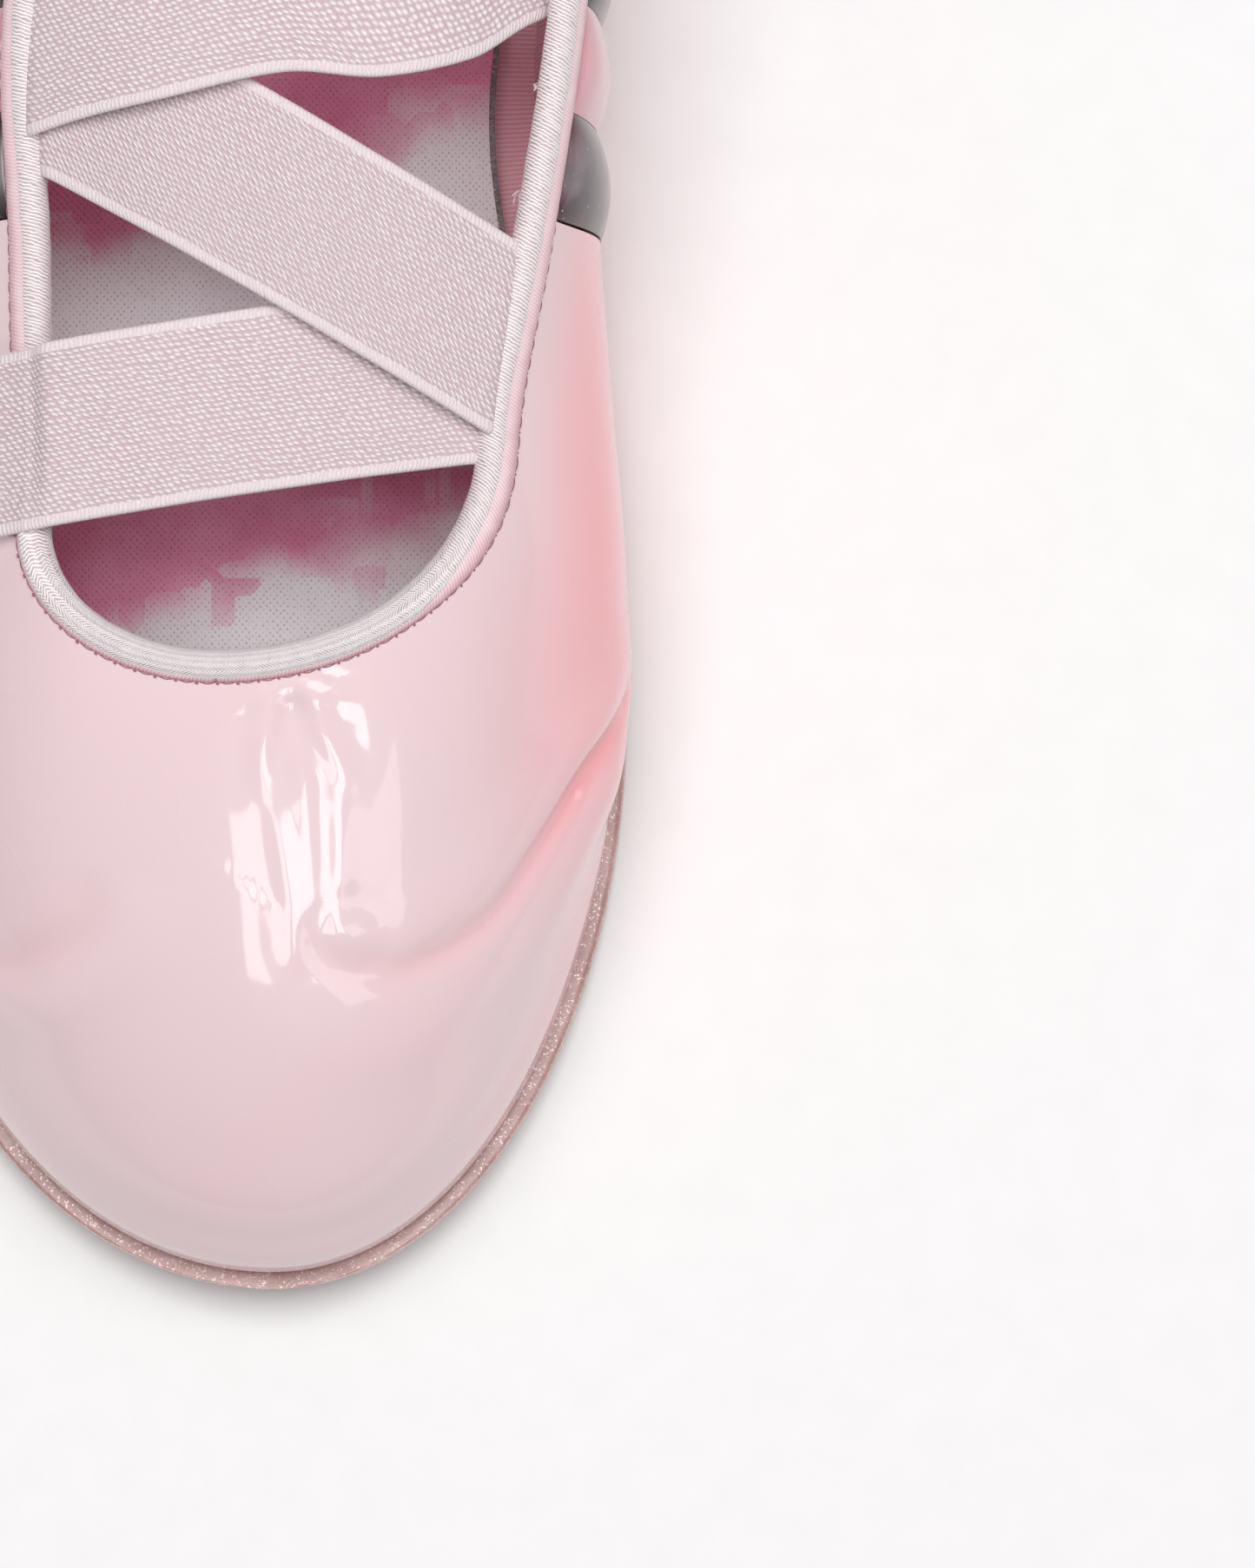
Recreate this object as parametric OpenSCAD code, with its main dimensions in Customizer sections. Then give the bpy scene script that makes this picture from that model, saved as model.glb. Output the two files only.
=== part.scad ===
// Right ballet slipper with a moulded glossy upper, a bubble collar round the
// heel and three crossed elastic straps. Millimetres, +Z up, toe towards -Y,
// inner (big toe) side towards +X, origin under the middle of the slipper.

/* [Sole plan] */
// Outsole length from toe tip to heel tip
sole_length = 255; // [220:1:290]
// Half width of the outsole at the ball, inner side
ball_inner = 43.7; // [38:0.1:50]
// Half width of the outsole at the ball, outer side
ball_outer = 50; // [42:0.1:56]
// Half width at the arch, inner side
arch_inner = 30.6; // [24:0.1:40]
// Half width at the arch, outer side
arch_outer = 42; // [34:0.1:50]
// Half width across the heel, inner side
heel_inner = 33; // [26:0.1:40]
// Half width across the heel, outer side
heel_outer = 34.2; // [26:0.1:42]
// Sideways shift of the heel towards the inner side
heel_shift = 8; // [0:0.5:14]
// Lift of the toe tip above the ground
toe_spring = 5.5; // [0:0.5:12]

/* [Bottom layers] */
// Outsole thickness
outsole_thickness = 3; // [2:0.1:6]
// Width of the outsole rim that shows round the upper
rim_width = 2; // [0.5:0.1:4]
// Thickness of the filler between outsole and board
filler_thickness = 1.7; // [1:0.1:4]
// Insole board thickness
board_thickness = 1.6; // [1:0.1:3]
// Foam thickness of the loose sockliner
sock_foam = 3.2; // [1:0.1:6]
// Knit cover thickness of the loose sockliner
sock_cover = 0.7; // [0.4:0.1:1.5]

/* [Throat and collar] */
// Distance of the throat from the toe tip
throat_setback = 73.4; // [60:0.1:95]
// Distance of the heel collar from the toe tip
collar_back = 247.5; // [215:0.5:285]
// Half width of the mouth on its inner side
mouth_inner = 34; // [28:0.1:42]
// Half width of the mouth on its outer side, at the waist
mouth_outer = 31.4; // [26:0.1:40]
// Binding height at the throat
throat_height = 49.5; // [40:0.5:60]
// Binding height at the sides
side_height = 46; // [38:0.5:56]
// Binding height at the heel
heel_height = 62; // [50:0.5:75]

/* [Wall layers] */
// Moulded skin thickness
skin_thickness = 1.8; // [1:0.1:3]
// Thickness of the padding or stiffener behind the skin
padding_thickness = 0.9; // [0.5:0.1:2]
// Ribbed lining thickness
lining_thickness = 0.7; // [0.4:0.1:1.5]
// Gap left between glued layers
glue_gap = 0.1; // [0.05:0.01:0.3]
// Radius of the binding round the collar
binding_radius = 1.9; // [1.4:0.1:3]
// Radius of the cord inside the binding
cord_radius = 1.1; // [0.6:0.1:2]
// Radius of the stitching thread under the binding
thread_radius = 0.35; // [0.2:0.05:0.6]

/* [Bubble collar] */
// Distance from the toe tip at which the bubbles begin
bubble_start = 128; // [100:1:160]
// Number of bubbles from one side round the heel to the other
bubble_count = 23; // [9:2:31]
// Bulge of a bubble over the skin around it
bubble_bulge = 1.5; // [0.5:0.1:4]
// Gap between neighbouring bubbles
bubble_gap = 0.3; // [0.1:0.05:1]

/* [Straps] */
// Width of each elastic strap
strap_width = 22; // [15:0.5:30]
// Thickness of each elastic strap
strap_thickness = 1.2; // [0.8:0.1:2.5]
// Clear distance between a strap's free span and the binding's middle
strap_clearance = 3.3; // [2.6:0.1:5]

/* [Hidden] */
// Skin colours and trims
pink = [0.92, 0.80, 0.82];
pale_pink = [0.88, 0.81, 0.83];
rose = [0.66, 0.43, 0.49];
smoke = [0.45, 0.40, 0.42, 0.7];
sole_tint = [0.79, 0.65, 0.63];
foam_white = [0.93, 0.91, 0.88];
board_tan = [0.72, 0.60, 0.46];
steel = [0.60, 0.61, 0.63];

// The two tips share one middle line that drifts from toe to heel.
half_length = sole_length / 2;
drift_start = 80;
drift_end = 200;

// Rounded ends of the plan: depth from the tip to full width.
toe_depth_inner = 72;
toe_depth_outer = 66;
heel_depth_inner = 36;
heel_depth_outer = 40;

// Rounded ends of the mouth.
mouth_depth_inner = 27;
mouth_depth_outer = 17;
mouth_heel_depth = 31;
throat_offset = -5;
mouth_drift_start = 95;
mouth_reach = 115;

// Heights stacked up from the outsole.
spring_end = 60;
filler_bottom = outsole_thickness + glue_gap;
board_bottom = filler_bottom + filler_thickness + glue_gap;
sock_bottom = board_bottom + board_thickness + 0.3;
cover_bottom = sock_bottom + sock_foam + glue_gap;
sock_top = cover_bottom + sock_cover;

// Depths of the wall layers under the outer surface.
padding_depth = skin_thickness + glue_gap;
lining_depth = padding_depth + padding_thickness + glue_gap;
wall_depth = lining_depth + lining_thickness;
recess_depth = 0.9;

// Layers of the bottom, inset from the outsole's edge.
board_inset = rim_width + wall_depth + 0.8;
sock_inset = board_inset + 0.4;
board_toe_trim = 1;
sock_toe_trim = 3;
toe_trim_end = 84;
arch_cut = 2.4;
arch_middle = 143;
arch_reach = 26;

// Height fractions of the wall: 0 at the sole, 1 under the binding.
bubble_low = 0.2;
bubble_high = 0.97;
bubble_margin = 0.01;
bubble_seat = 0.35;

// Angles round the slipper: 0 at the toe, 90 inner side, 180 heel.
seam = station_of(bubble_start);
seam_gap = 0.15;

// All layers of a wall share these rows, so that their facets lie parallel.
puff_rows = [0, 0.07, 0.14, 0.22, 0.3, 0.42];
vamp_padding_rows = [0.43, 0.54, 0.66, 0.75, 0.84, 0.92, 1];
vamp_rows = concat(puff_rows, vamp_padding_rows);
counter_rows = [0, 0.1, 0.18, 0.2, 0.32, 0.45, 0.58, 0.7];
quarter_padding_rows = [0.71, 0.78, 0.85, 0.92, 1];
quarter_rows = concat(counter_rows, quarter_padding_rows);

function bubble_name(i) = str("bubble_", i < 10 ? "0" : "", i);

// ---- curves ----

// Smooth curve through [position, value] keys, level at both ends.
function slope(keys, i) =
    i == 0 || i == len(keys) - 1 ? 0
    : (keys[i + 1][1] - keys[i - 1][1]) / (keys[i + 1][0] - keys[i - 1][0]);
function span_of(x, keys, i = 0) =
    i >= len(keys) - 2 || x < keys[i + 1][0] ? i : span_of(x, keys, i + 1);
function keyed(x, keys) =
    let (i = span_of(x, keys),
         width = keys[i + 1][0] - keys[i][0],
         t = min(max((x - keys[i][0]) / width, 0), 1),
         s = 1 - t)
    keys[i][1] * s * s * (1 + 2 * t) + keys[i + 1][1] * t * t * (1 + 2 * s)
    + width * t * s * (slope(keys, i) * s - slope(keys, i + 1) * t);

function ease(t) = let (c = min(max(t, 0), 1)) c * c * (3 - 2 * c);
function mix(a, b, t) = a + (b - a) * t;
function unit(p) = p / norm(p);

// Quarter ellipse from a tip at 0 to full width at depth.
function round_end(distance, depth) =
    let (t = 1 - min(max(distance / depth, 0), 1)) sqrt(1 - t * t);

// ---- plan of the sole, at distance v from the toe tip ----

function sole_middle(v) = heel_shift * ease((v - drift_start) / (drift_end - drift_start));
function sole_half(v, side, inset) = side > 0
    ? (keyed(v, [[72, ball_inner], [110, mix(ball_inner, arch_inner, 0.48)],
                 [150, arch_inner], [190, arch_inner + 0.4], [220, heel_inner]]) - inset)
      * round_end(v - inset, toe_depth_inner - inset)
      * round_end(sole_length - inset - v, heel_depth_inner - inset)
    : (keyed(v, [[66, ball_outer], [90, ball_outer - 0.8], [140, arch_outer],
                 [180, mix(arch_outer, heel_outer, 0.5)], [222, heel_outer]]) - inset)
      * round_end(v - inset, toe_depth_outer - inset)
      * round_end(sole_length - inset - v, heel_depth_outer - inset);
function sole_edge(v, side, inset) = sole_middle(v) + side * sole_half(v, side, inset);
function lift(v) = toe_spring * pow(max(1 - v / spring_end, 0), 2);

// Middle of the slipper's box, which is the origin: the outer side is wider
// than the inner one, and the heel bubbles stand out past the sole.
heel_overhang = 0.64;
centre_x = (ball_inner - ball_outer) / 2;
centre_y = half_length + heel_overhang;

// ---- mouth of the slipper ----

function mouth_middle(v) =
    throat_offset + (heel_shift - throat_offset)
        * ease((v - mouth_drift_start) / (drift_end - mouth_drift_start));
function mouth_half(v, side) = side > 0
    ? keyed(v, [[98, mouth_inner - 0.7], [125, mouth_inner + 1], [153, mouth_inner + 0.2],
                [185, mouth_inner - 3.4], [218, mouth_inner - 6.4]])
      * round_end(v - throat_setback, mouth_depth_inner)
      * round_end(collar_back - v, mouth_heel_depth)
    : keyed(v, [[92, mouth_outer - 9.1], [122, mouth_outer - 5.9], [150, mouth_outer],
                [180, mouth_outer + 1.6], [215, mouth_outer - 3.4]])
      * round_end(v - throat_setback, mouth_depth_outer)
      * round_end(collar_back - v, mouth_heel_depth);
function mouth_height(v) =
    keyed(v, [[throat_setback, throat_height], [92, side_height + 1.6], [122, side_height],
              [155, side_height + 2], [200, mix(side_height, heel_height, 0.5)],
              [collar_back, heel_height]]);

// ---- stations round the slipper ----

function station_side(a) = a > 180 || a < 0 ? -1 : 1;
function foot_run(a) =
    rim_width + (half_length - rim_width) * (1 - cos(a));
function station_of(v) =
    acos(1 - (v - rim_width) / (half_length - rim_width));
function mouth_run(a) =
    let (v = half_length * (1 - cos(a)))
    v + throat_setback * pow(max(1 - v / mouth_reach, 0), 1.3)
    - (sole_length - collar_back) * pow(max((v - 200) / (sole_length - 200), 0), 2);

function foot_point(a) =
    let (v = foot_run(a)) [sole_edge(v, station_side(a), rim_width), v];
function mouth_point(a) =
    let (v = mouth_run(a))
    [mouth_middle(v) + station_side(a) * mouth_half(v, station_side(a)), v];
function outward(p, q) = let (d = unit(q - p)) [d.y, -d.x];

// Control points of the wall at one station, from the sole to the binding.
function wall(a) =
    let (foot = foot_point(a),
         foot_out = outward(foot_point(a - 1), foot_point(a + 1)),
         mouth = mouth_point(a),
         mouth_out = outward(mouth_point(a - 1), mouth_point(a + 1)),
         flat = ease((norm(foot - mouth) - 15) / 45),
         low = lift(foot.y) + filler_bottom,
         top = mouth + mouth_out * mix(1.7, 2.4, flat),
         high = mouth_height(mouth.y) + mix(-2.1, 1.1, flat),
         swell = keyed(foot.y, [[30, 0.5], [60, 4], [80, 8], [105, 11.5], [150, 8.5],
                                [200, 6], [sole_length, 1.5]]),
         shoulder = top + (foot - mouth) * mix(0.35, 0.5, flat) + mouth_out * mix(3.5, 0, flat))
    [[foot.x, foot.y, low],
     [foot.x + foot_out.x * swell, foot.y + foot_out.y * swell, mix(low, high, 0.42)],
     [shoulder.x, shoulder.y, high - 8],
     [top.x, top.y, high]];

function along(c, t) =
    let (s = 1 - t)
    c[0] * s * s * s + c[1] * 3 * s * s * t + c[2] * 3 * s * t * t + c[3] * t * t * t;
function rise(c, t) =
    let (s = 1 - t)
    (c[1] - c[0]) * s * s + (c[2] - c[1]) * 2 * s * t + (c[3] - c[2]) * t * t;

// Points on the wall, sunk by depth(a, t) under the outer surface.
function wall_grid(stations, rows, depth) =
    [for (a = stations)
        let (before = wall(a - 1), here = wall(a), after = wall(a + 1))
        [for (t = rows)
            along(here, t)
            - unit(cross(along(after, t) - along(before, t), rise(here, t))) * depth(a, t)]];

// Binding middle at one station, with its outward and upward directions.
function binding_frame(a) =
    let (here = wall(a),
         up = unit(here[3] - here[2]),
         out = unit(cross(along(wall(a + 1), 1) - along(wall(a - 1), 1), up)))
    [here[3] + up * (binding_radius + 0.05) - out * wall_depth / 2, out, up];

// ---- solids from grids and sections ----

function shift(p) = [p.x - centre_x, p.y - centre_y, p.z];
function quad(a, b, c, d) = [[a, b, c], [a, c, d]];
function joined(lists) = [for (l = lists) for (e = l) e];

// Closed solid between an outer and an inner grid of the same size.
module shell(outer, inner) {
    n = len(outer);
    m = len(outer[0]);
    far = n * m;
    faces = joined(concat(
        [for (i = [0 : n - 2], j = [0 : m - 2])
            quad(i * m + j, i * m + j + 1, (i + 1) * m + j + 1, (i + 1) * m + j)],
        [for (i = [0 : n - 2], j = [0 : m - 2])
            quad(far + i * m + j, far + (i + 1) * m + j, far + (i + 1) * m + j + 1,
                 far + i * m + j + 1)],
        [for (i = [0 : n - 2], j = [0, m - 1])
            j == 0 ? quad(i * m, (i + 1) * m, far + (i + 1) * m, far + i * m)
            : quad(i * m + j, far + i * m + j, far + (i + 1) * m + j, (i + 1) * m + j)],
        [for (j = [0 : m - 2], i = [0, n - 1])
            i == 0 ? quad(j, far + j, far + j + 1, j + 1)
            : quad(i * m + j, i * m + j + 1, far + i * m + j + 1, far + i * m + j)]));
    polyhedron([for (g = [outer, inner]) for (row = g) for (p = row) shift(p)], faces);
}

// Closed solid through a list of equal sections, open ended or a ring.
module loft(sections, ring = false) {
    n = len(sections);
    m = len(sections[0]);
    sides = joined([for (i = [0 : n - (ring ? 1 : 2)], j = [0 : m - 1])
        let (k = (i + 1) % n, l = (j + 1) % m)
        quad(i * m + j, k * m + j, k * m + l, i * m + l)]);
    ends = ring ? [] : [[for (j = [0 : m - 1]) j],
                        [for (j = [m - 1 : -1 : 0]) (n - 1) * m + j]];
    polyhedron([for (s = sections) for (p = s) shift(p)], concat(sides, ends));
}

function level(value) = function (a, t) value;

module wall_layer(stations, rows, depth, thickness) {
    shell(wall_grid(stations, rows, level(depth)),
          wall_grid(stations, rows, level(depth + thickness)));
}

// Flat layer of the bottom: levels are [inset, height] pairs from low to high.
// It stops short of the sloping toe wall by toe_trim, and cut notches the arch.
module bottom_layer(levels, toe_trim = 0, cut = 0, first = 5, step = 8.5) {
    deepest = max([for (l = levels) l[0]]);
    front = deepest + toe_trim;
    reach = half_length - (front + deepest) / 2;
    loft([for (b = [first : step : 180 - first])
        let (v = front + reach * (1 - cos(b)),
             trim = toe_trim * (1 - ease((v - toe_trim_end / 2) / (toe_trim_end / 2))),
             notch = 2 * cut * pow(max(1 - abs(v - arch_middle) / arch_reach, 0), 2))
        concat(
            [for (l = levels)
                [sole_edge(v, 1, l[0] + trim) - notch, v, lift(v) + l[1]]],
            [for (i = [len(levels) - 1 : -1 : 0])
                [sole_edge(v, -1, levels[i][0] + trim), v, lift(v) + levels[i][1]]])]);
}

// ---- bottom ----

module outsole() {
    color(sole_tint)
        bottom_layer([[0.8, 0], [0, 0.8], [0, outsole_thickness - 0.5],
                      [0.4, outsole_thickness]], first = 2, step = 5.5);
}

shank_length = 104;
shank_width = 13;
shank_thickness = 1.1;
shank_middle = 158;

module shank_bar(extra) {
    translate([sole_middle(shank_middle) - centre_x, shank_middle - centre_y,
               board_bottom - glue_gap - shank_thickness / 2 + extra / 2])
        rotate([0, 0, -4])
            cube([shank_width + 2 * extra, shank_length + 2 * extra,
                  shank_thickness + extra], center = true);
}

module bottom_filler() {
    color(foam_white) difference() {
        bottom_layer([[board_inset, filler_bottom],
                      [board_inset, filler_bottom + filler_thickness]],
                     toe_trim = board_toe_trim);
        shank_bar(0.1);
    }
}

module shank() {
    color(steel) shank_bar(0);
}

module insole_board() {
    color(board_tan)
        bottom_layer([[board_inset, board_bottom],
                      [board_inset, board_bottom + board_thickness]],
                     toe_trim = board_toe_trim);
}

module sockliner_foam() {
    color(foam_white)
        bottom_layer([[sock_inset, sock_bottom], [sock_inset, sock_bottom + sock_foam]],
                     toe_trim = sock_toe_trim, cut = arch_cut);
}

module sockliner_cover() {
    color(rose)
        bottom_layer([[sock_inset, cover_bottom], [sock_inset, sock_top]],
                     toe_trim = sock_toe_trim, cut = arch_cut);
}

// ---- front wall ----

vamp_step = (seam - seam_gap) / 16;
vamp_stations = [for (i = [-16 : 16]) i * vamp_step];
puff_stations = [for (i = [-8 : 8]) i * vamp_step];

module vamp_skin() {
    color(pink) wall_layer(vamp_stations, vamp_rows, 0, skin_thickness);
}

module toe_puff() {
    color(board_tan)
        wall_layer(puff_stations, puff_rows, padding_depth, padding_thickness);
}

module vamp_padding() {
    color(foam_white)
        wall_layer(vamp_stations, vamp_padding_rows, padding_depth, padding_thickness);
}

module vamp_lining() {
    color(rose) wall_layer(vamp_stations, vamp_rows, lining_depth, lining_thickness);
}

// ---- rear wall ----

rear_step = (180 - seam - seam_gap) / 18;
rear_stations = [for (i = [-18 : 18]) 180 + i * rear_step];
counter_stations = [for (i = [-10 : 10]) 180 + i * rear_step];

// The skin is full thick in a band at the sole and thin behind the bubbles.
module quarter_skin() {
    color(pink) shell(
        wall_grid(rear_stations, quarter_rows,
                  function (a, t) t < bubble_low ? 0 : recess_depth),
        wall_grid(rear_stations, quarter_rows, level(skin_thickness)));
}

module heel_counter() {
    color(board_tan)
        wall_layer(counter_stations, counter_rows, padding_depth, padding_thickness);
}

module quarter_padding() {
    color(foam_white)
        wall_layer(rear_stations, quarter_padding_rows, padding_depth, padding_thickness);
}

module quarter_lining() {
    color(rose) wall_layer(rear_stations, quarter_rows, lining_depth, lining_thickness);
}

// ---- bubbles ----

// Running length along the rear of the slipper, as [length, station] pairs.
rear_marks = [for (i = [0 : 72]) seam + i * (360 - 2 * seam) / 72];
rear_steps = [for (i = [0 : 71])
    norm(along(wall(rear_marks[i + 1]), 0.5) - along(wall(rear_marks[i]), 0.5))];
rear_runs = [for (i = 0, total = 0; i <= 72; total = total + (i < 72 ? rear_steps[i] : 0),
             i = i + 1) [total, rear_marks[i]]];
rear_length = rear_runs[72][0];
bubble_pitch = rear_length / bubble_count;

bubble_across = [-1, -0.82, -0.45, 0, 0.45, 0.82, 1];
bubble_up = [0, 0.07, 0.22, 0.5, 0.78, 0.93, 1];

// Cushion swell over its outline, from 0 at the rim to 1 in the middle.
function cushion(across, up) =
    (1 - pow(abs(across), 2.6)) * (1 - pow(abs(2 * up - 1), 5));

module bubble(i) {
    middle = (i - 0.5) * bubble_pitch;
    reach = (bubble_pitch - bubble_gap) / 2;
    stations = [for (x = bubble_across) lookup(middle + x * reach, rear_runs)];
    rows = [for (u = bubble_up) mix(bubble_low + bubble_margin, bubble_high, u)];
    base = wall_grid(stations, rows, level(recess_depth - bubble_seat));
    swell = wall_grid(stations, rows, level(-bubble_bulge));
    outer = [for (k = [0 : 6]) [for (l = [0 : 6])
        mix(base[k][l], swell[k][l], mix(0.32, 1, cushion(bubble_across[k], bubble_up[l])))]];
    color(i % 2 == 1 ? smoke : pink) shell(outer, base);
}

// ---- collar ----

collar_stations = [for (i = [0 : 71]) i * 5];

module topline_cord() {
    color(foam_white) loft([for (a = collar_stations)
        let (f = binding_frame(a))
        [for (s = [0 : 7]) f[0] + cord_radius * (f[1] * cos(s * 45) + f[2] * sin(s * 45))]],
        ring = true);
}

// Tape folded over the cord, open towards the wall below it.
binding_inside = cord_radius + 0.15;
binding_mouth = 40;

module topline_binding() {
    arc = [for (s = [0 : 8]) binding_mouth - 90 + s * (360 - 2 * binding_mouth) / 8];
    color(pale_pink) loft([for (a = collar_stations)
        let (f = binding_frame(a))
        concat(
            [for (g = arc) f[0] + binding_radius * (f[1] * cos(g) + f[2] * sin(g))],
            [for (k = [8 : -1 : 0])
                f[0] + binding_inside * (f[1] * cos(arc[k]) + f[2] * sin(arc[k]))])],
        ring = true);
}

module topline_thread() {
    seat = thread_radius + 0.15;
    color(rose) loft([for (a = collar_stations)
        let (f = binding_frame(a),
             here = wall(a),
             middle = along(here, 0.99) + f[1] * seat)
        [for (s = [0 : 4])
            middle + thread_radius * (f[1] * cos(s * 72) + f[2] * sin(s * 72))]],
        ring = true);
}

// ---- straps ----

// Each strap: [distance from toe at the middle line, turn, height at the outer
// side of the mouth, height at its inner side, arch rise].
front_run = [104.8, 9.1, 49.2, 44.4, 4];
middle_run = [129.7, -30.4, 45.4, 46.8, 6.6];
rear_run = [155.4, 14, 47, 47.2, 8.2];
strap_reach = 45;
strap_sides = 20;
mouth_side = 28.5;

// Plan of a strap's free span: a straight band trimmed inside the mouth.
module strap_plan(run) {
    intersection() {
        polygon([for (i = [0 : 59])
            let (a = i * 6,
                 out = outward(mouth_point(a - 1), mouth_point(a + 1)))
            mouth_point(a) - out * strap_clearance]);
        translate([0, run[0]])
            rotate(run[1])
                square([2 * strap_reach, strap_width], center = true);
    }
}

// Free span of a strap: its plan cut from a sheet arched across the mouth.
module strap_span(run) {
    function arch(x) = mix(run[2], run[3], (x + mouth_side) / (2 * mouth_side))
        + run[4] * (1 - pow(x / mouth_side, 2));
    across = [for (i = [0 : strap_sides]) mix(-strap_reach, strap_reach, i / strap_sides)];
    color(pale_pink) translate([-centre_x, -centre_y, 0]) intersection() {
        linear_extrude(height = 2 * side_height) strap_plan(run);
        translate([0, sole_length, 0])
            rotate([90, 0, 0])
                linear_extrude(height = sole_length)
                    polygon(concat(
                        [for (x = across) [x, arch(x) - strap_thickness / 2]],
                        [for (i = [strap_sides : -1 : 0])
                            [across[i], arch(across[i]) + strap_thickness / 2]]));
    }
}

module front_strap() {
    strap_span(front_run);
}

module middle_strap() {
    strap_span(middle_run);
}

module rear_strap() {
    strap_span(rear_run);
}

// Sewn end of a strap, flat against the lining between two places along it.
tab_low = 0.7;
tab_high = 0.9;
tab_thickness = 1;
tab_seat = wall_depth + 0.7;
second_seat = tab_seat + tab_thickness + 0.1;

module strap_tab(from, to, side, seat) {
    ends = [for (v = side > 0 ? [from, to] : [to, from])
        side > 0 ? station_of(v) : 360 - station_of(v)];
    stations = [for (i = [0 : 4]) mix(ends[0], ends[1], i / 4)];
    color(pale_pink)
        wall_layer(stations, [tab_low, mix(tab_low, tab_high, 0.5), tab_high], seat,
                   tab_thickness);
}

// Front strap's outer end, folded over the binding from inside to outside.
fold_from = 60;
fold_to = 82.5;

module front_strap_outer_end() {
    inside = binding_radius + 0.15;
    outside = inside + 1.1;
    turn = [for (s = [0 : 6]) -12 + s * 24];
    stations = [for (i = [0 : 5]) 360 - mix(fold_from, fold_to, i / 5)];
    color(pale_pink) loft([for (i = [5 : -1 : 0])
        let (f = binding_frame(stations[i]))
        concat(
            [for (g = turn) f[0] + outside * (f[1] * cos(g) + f[2] * sin(g))],
            [for (k = [6 : -1 : 0])
                f[0] + inside * (f[1] * cos(turn[k]) + f[2] * sin(turn[k]))])]);
}

module front_strap_inner_end() {
    strap_tab(94, 119, 1, second_seat);
}

module middle_strap_outer_end() {
    strap_tab(133.7, 158.6, -1, second_seat);
}

module middle_strap_inner_end() {
    strap_tab(96, 126, 1, tab_seat);
}

module rear_strap_outer_end() {
    strap_tab(137.7, 160.4, -1, tab_seat);
}

module rear_strap_inner_end() {
    strap_tab(152, 175, 1, tab_seat);
}

// ---- assembly ----

outsole();
bottom_filler();
shank();
insole_board();
sockliner_foam();
sockliner_cover();
vamp_skin();
toe_puff();
vamp_padding();
vamp_lining();
quarter_skin();
heel_counter();
quarter_padding();
quarter_lining();
topline_cord();
topline_binding();
topline_thread();
front_strap();
middle_strap();
rear_strap();
front_strap_outer_end();
front_strap_inner_end();
middle_strap_outer_end();
middle_strap_inner_end();
rear_strap_outer_end();
rear_strap_inner_end();
for (i = [1 : bubble_count])
    bubble(i);
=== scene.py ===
import math

import bpy
import numpy as np
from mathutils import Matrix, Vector


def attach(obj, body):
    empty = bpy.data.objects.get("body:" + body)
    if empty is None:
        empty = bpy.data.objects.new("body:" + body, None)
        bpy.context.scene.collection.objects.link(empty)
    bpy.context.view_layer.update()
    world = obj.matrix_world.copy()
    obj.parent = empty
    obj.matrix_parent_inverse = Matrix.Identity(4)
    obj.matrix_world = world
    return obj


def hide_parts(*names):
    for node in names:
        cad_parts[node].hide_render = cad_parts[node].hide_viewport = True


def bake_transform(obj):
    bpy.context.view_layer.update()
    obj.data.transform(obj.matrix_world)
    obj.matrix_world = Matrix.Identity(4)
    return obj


# Right ballet slipper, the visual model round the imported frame.
#
# Shapes are worked out in millimetres, with x = 0 on the toe's middle line and the
# distance from the toe tip as the second coordinate. place() moves them into the
# CAD frame, in metres, when a mesh is made. A station is an angle round the
# slipper: 0 at the toe, 90 on the inner side, 180 at the heel, and a wall height is
# a fraction from 0 at the sole to 1 under the binding.

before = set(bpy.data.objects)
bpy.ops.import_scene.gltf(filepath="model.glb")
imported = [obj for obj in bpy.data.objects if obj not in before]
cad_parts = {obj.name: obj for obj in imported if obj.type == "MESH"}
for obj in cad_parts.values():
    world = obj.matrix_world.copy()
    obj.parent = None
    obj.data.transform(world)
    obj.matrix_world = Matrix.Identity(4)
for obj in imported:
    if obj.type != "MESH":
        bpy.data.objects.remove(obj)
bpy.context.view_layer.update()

MM = 0.001
rng = np.random.default_rng(7)

# ---- driving sizes, in millimetres ----

SOLE_LENGTH = 255.0
HALF_LENGTH = SOLE_LENGTH / 2
BALL_INNER, BALL_OUTER = 43.7, 50.0
ARCH_INNER, ARCH_OUTER = 30.6, 42.0
HEEL_INNER, HEEL_OUTER = 33.0, 34.2
HEEL_SHIFT = 8.0
TOE_SPRING = 5.5
RIM_WIDTH = 2.0
OUTSOLE_THICKNESS = 3.0
THROAT_SETBACK, COLLAR_BACK = 73.4, 247.5
MOUTH_INNER, MOUTH_OUTER = 34.0, 31.4
THROAT_HEIGHT, SIDE_HEIGHT, HEEL_HEIGHT = 49.5, 46.0, 62.0
SKIN_THICKNESS = 1.8
LINING_DEPTH, LINING_THICKNESS = 2.9, 0.7
WALL_DEPTH = LINING_DEPTH + LINING_THICKNESS
BINDING_RADIUS = 1.9
RECESS_DEPTH = 0.9
BUBBLE_START = 128.0
BUBBLE_COUNT = 23
BUBBLE_BULGE = 1.5
BUBBLE_GAP = 0.08
BUBBLE_LOW, BUBBLE_HIGH = 0.2, 0.97
TAPE_RIB_PITCH = 0.44
STITCH_PITCH = 2.35
FUZZ_COUNT = 1100
LINE_POINTS = 60
ROLL_SIDES = 28
SPAN_ROWS = 97
SOCK_INSET = RIM_WIDTH + WALL_DEPTH + 1.2
BOARD_TOP = 6.5
SOCK_BOTTOM, SOCK_SPLIT = 6.8, 10.0
STRAP_WIDTH, STRAP_THICKNESS = 22.0, 1.1
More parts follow.
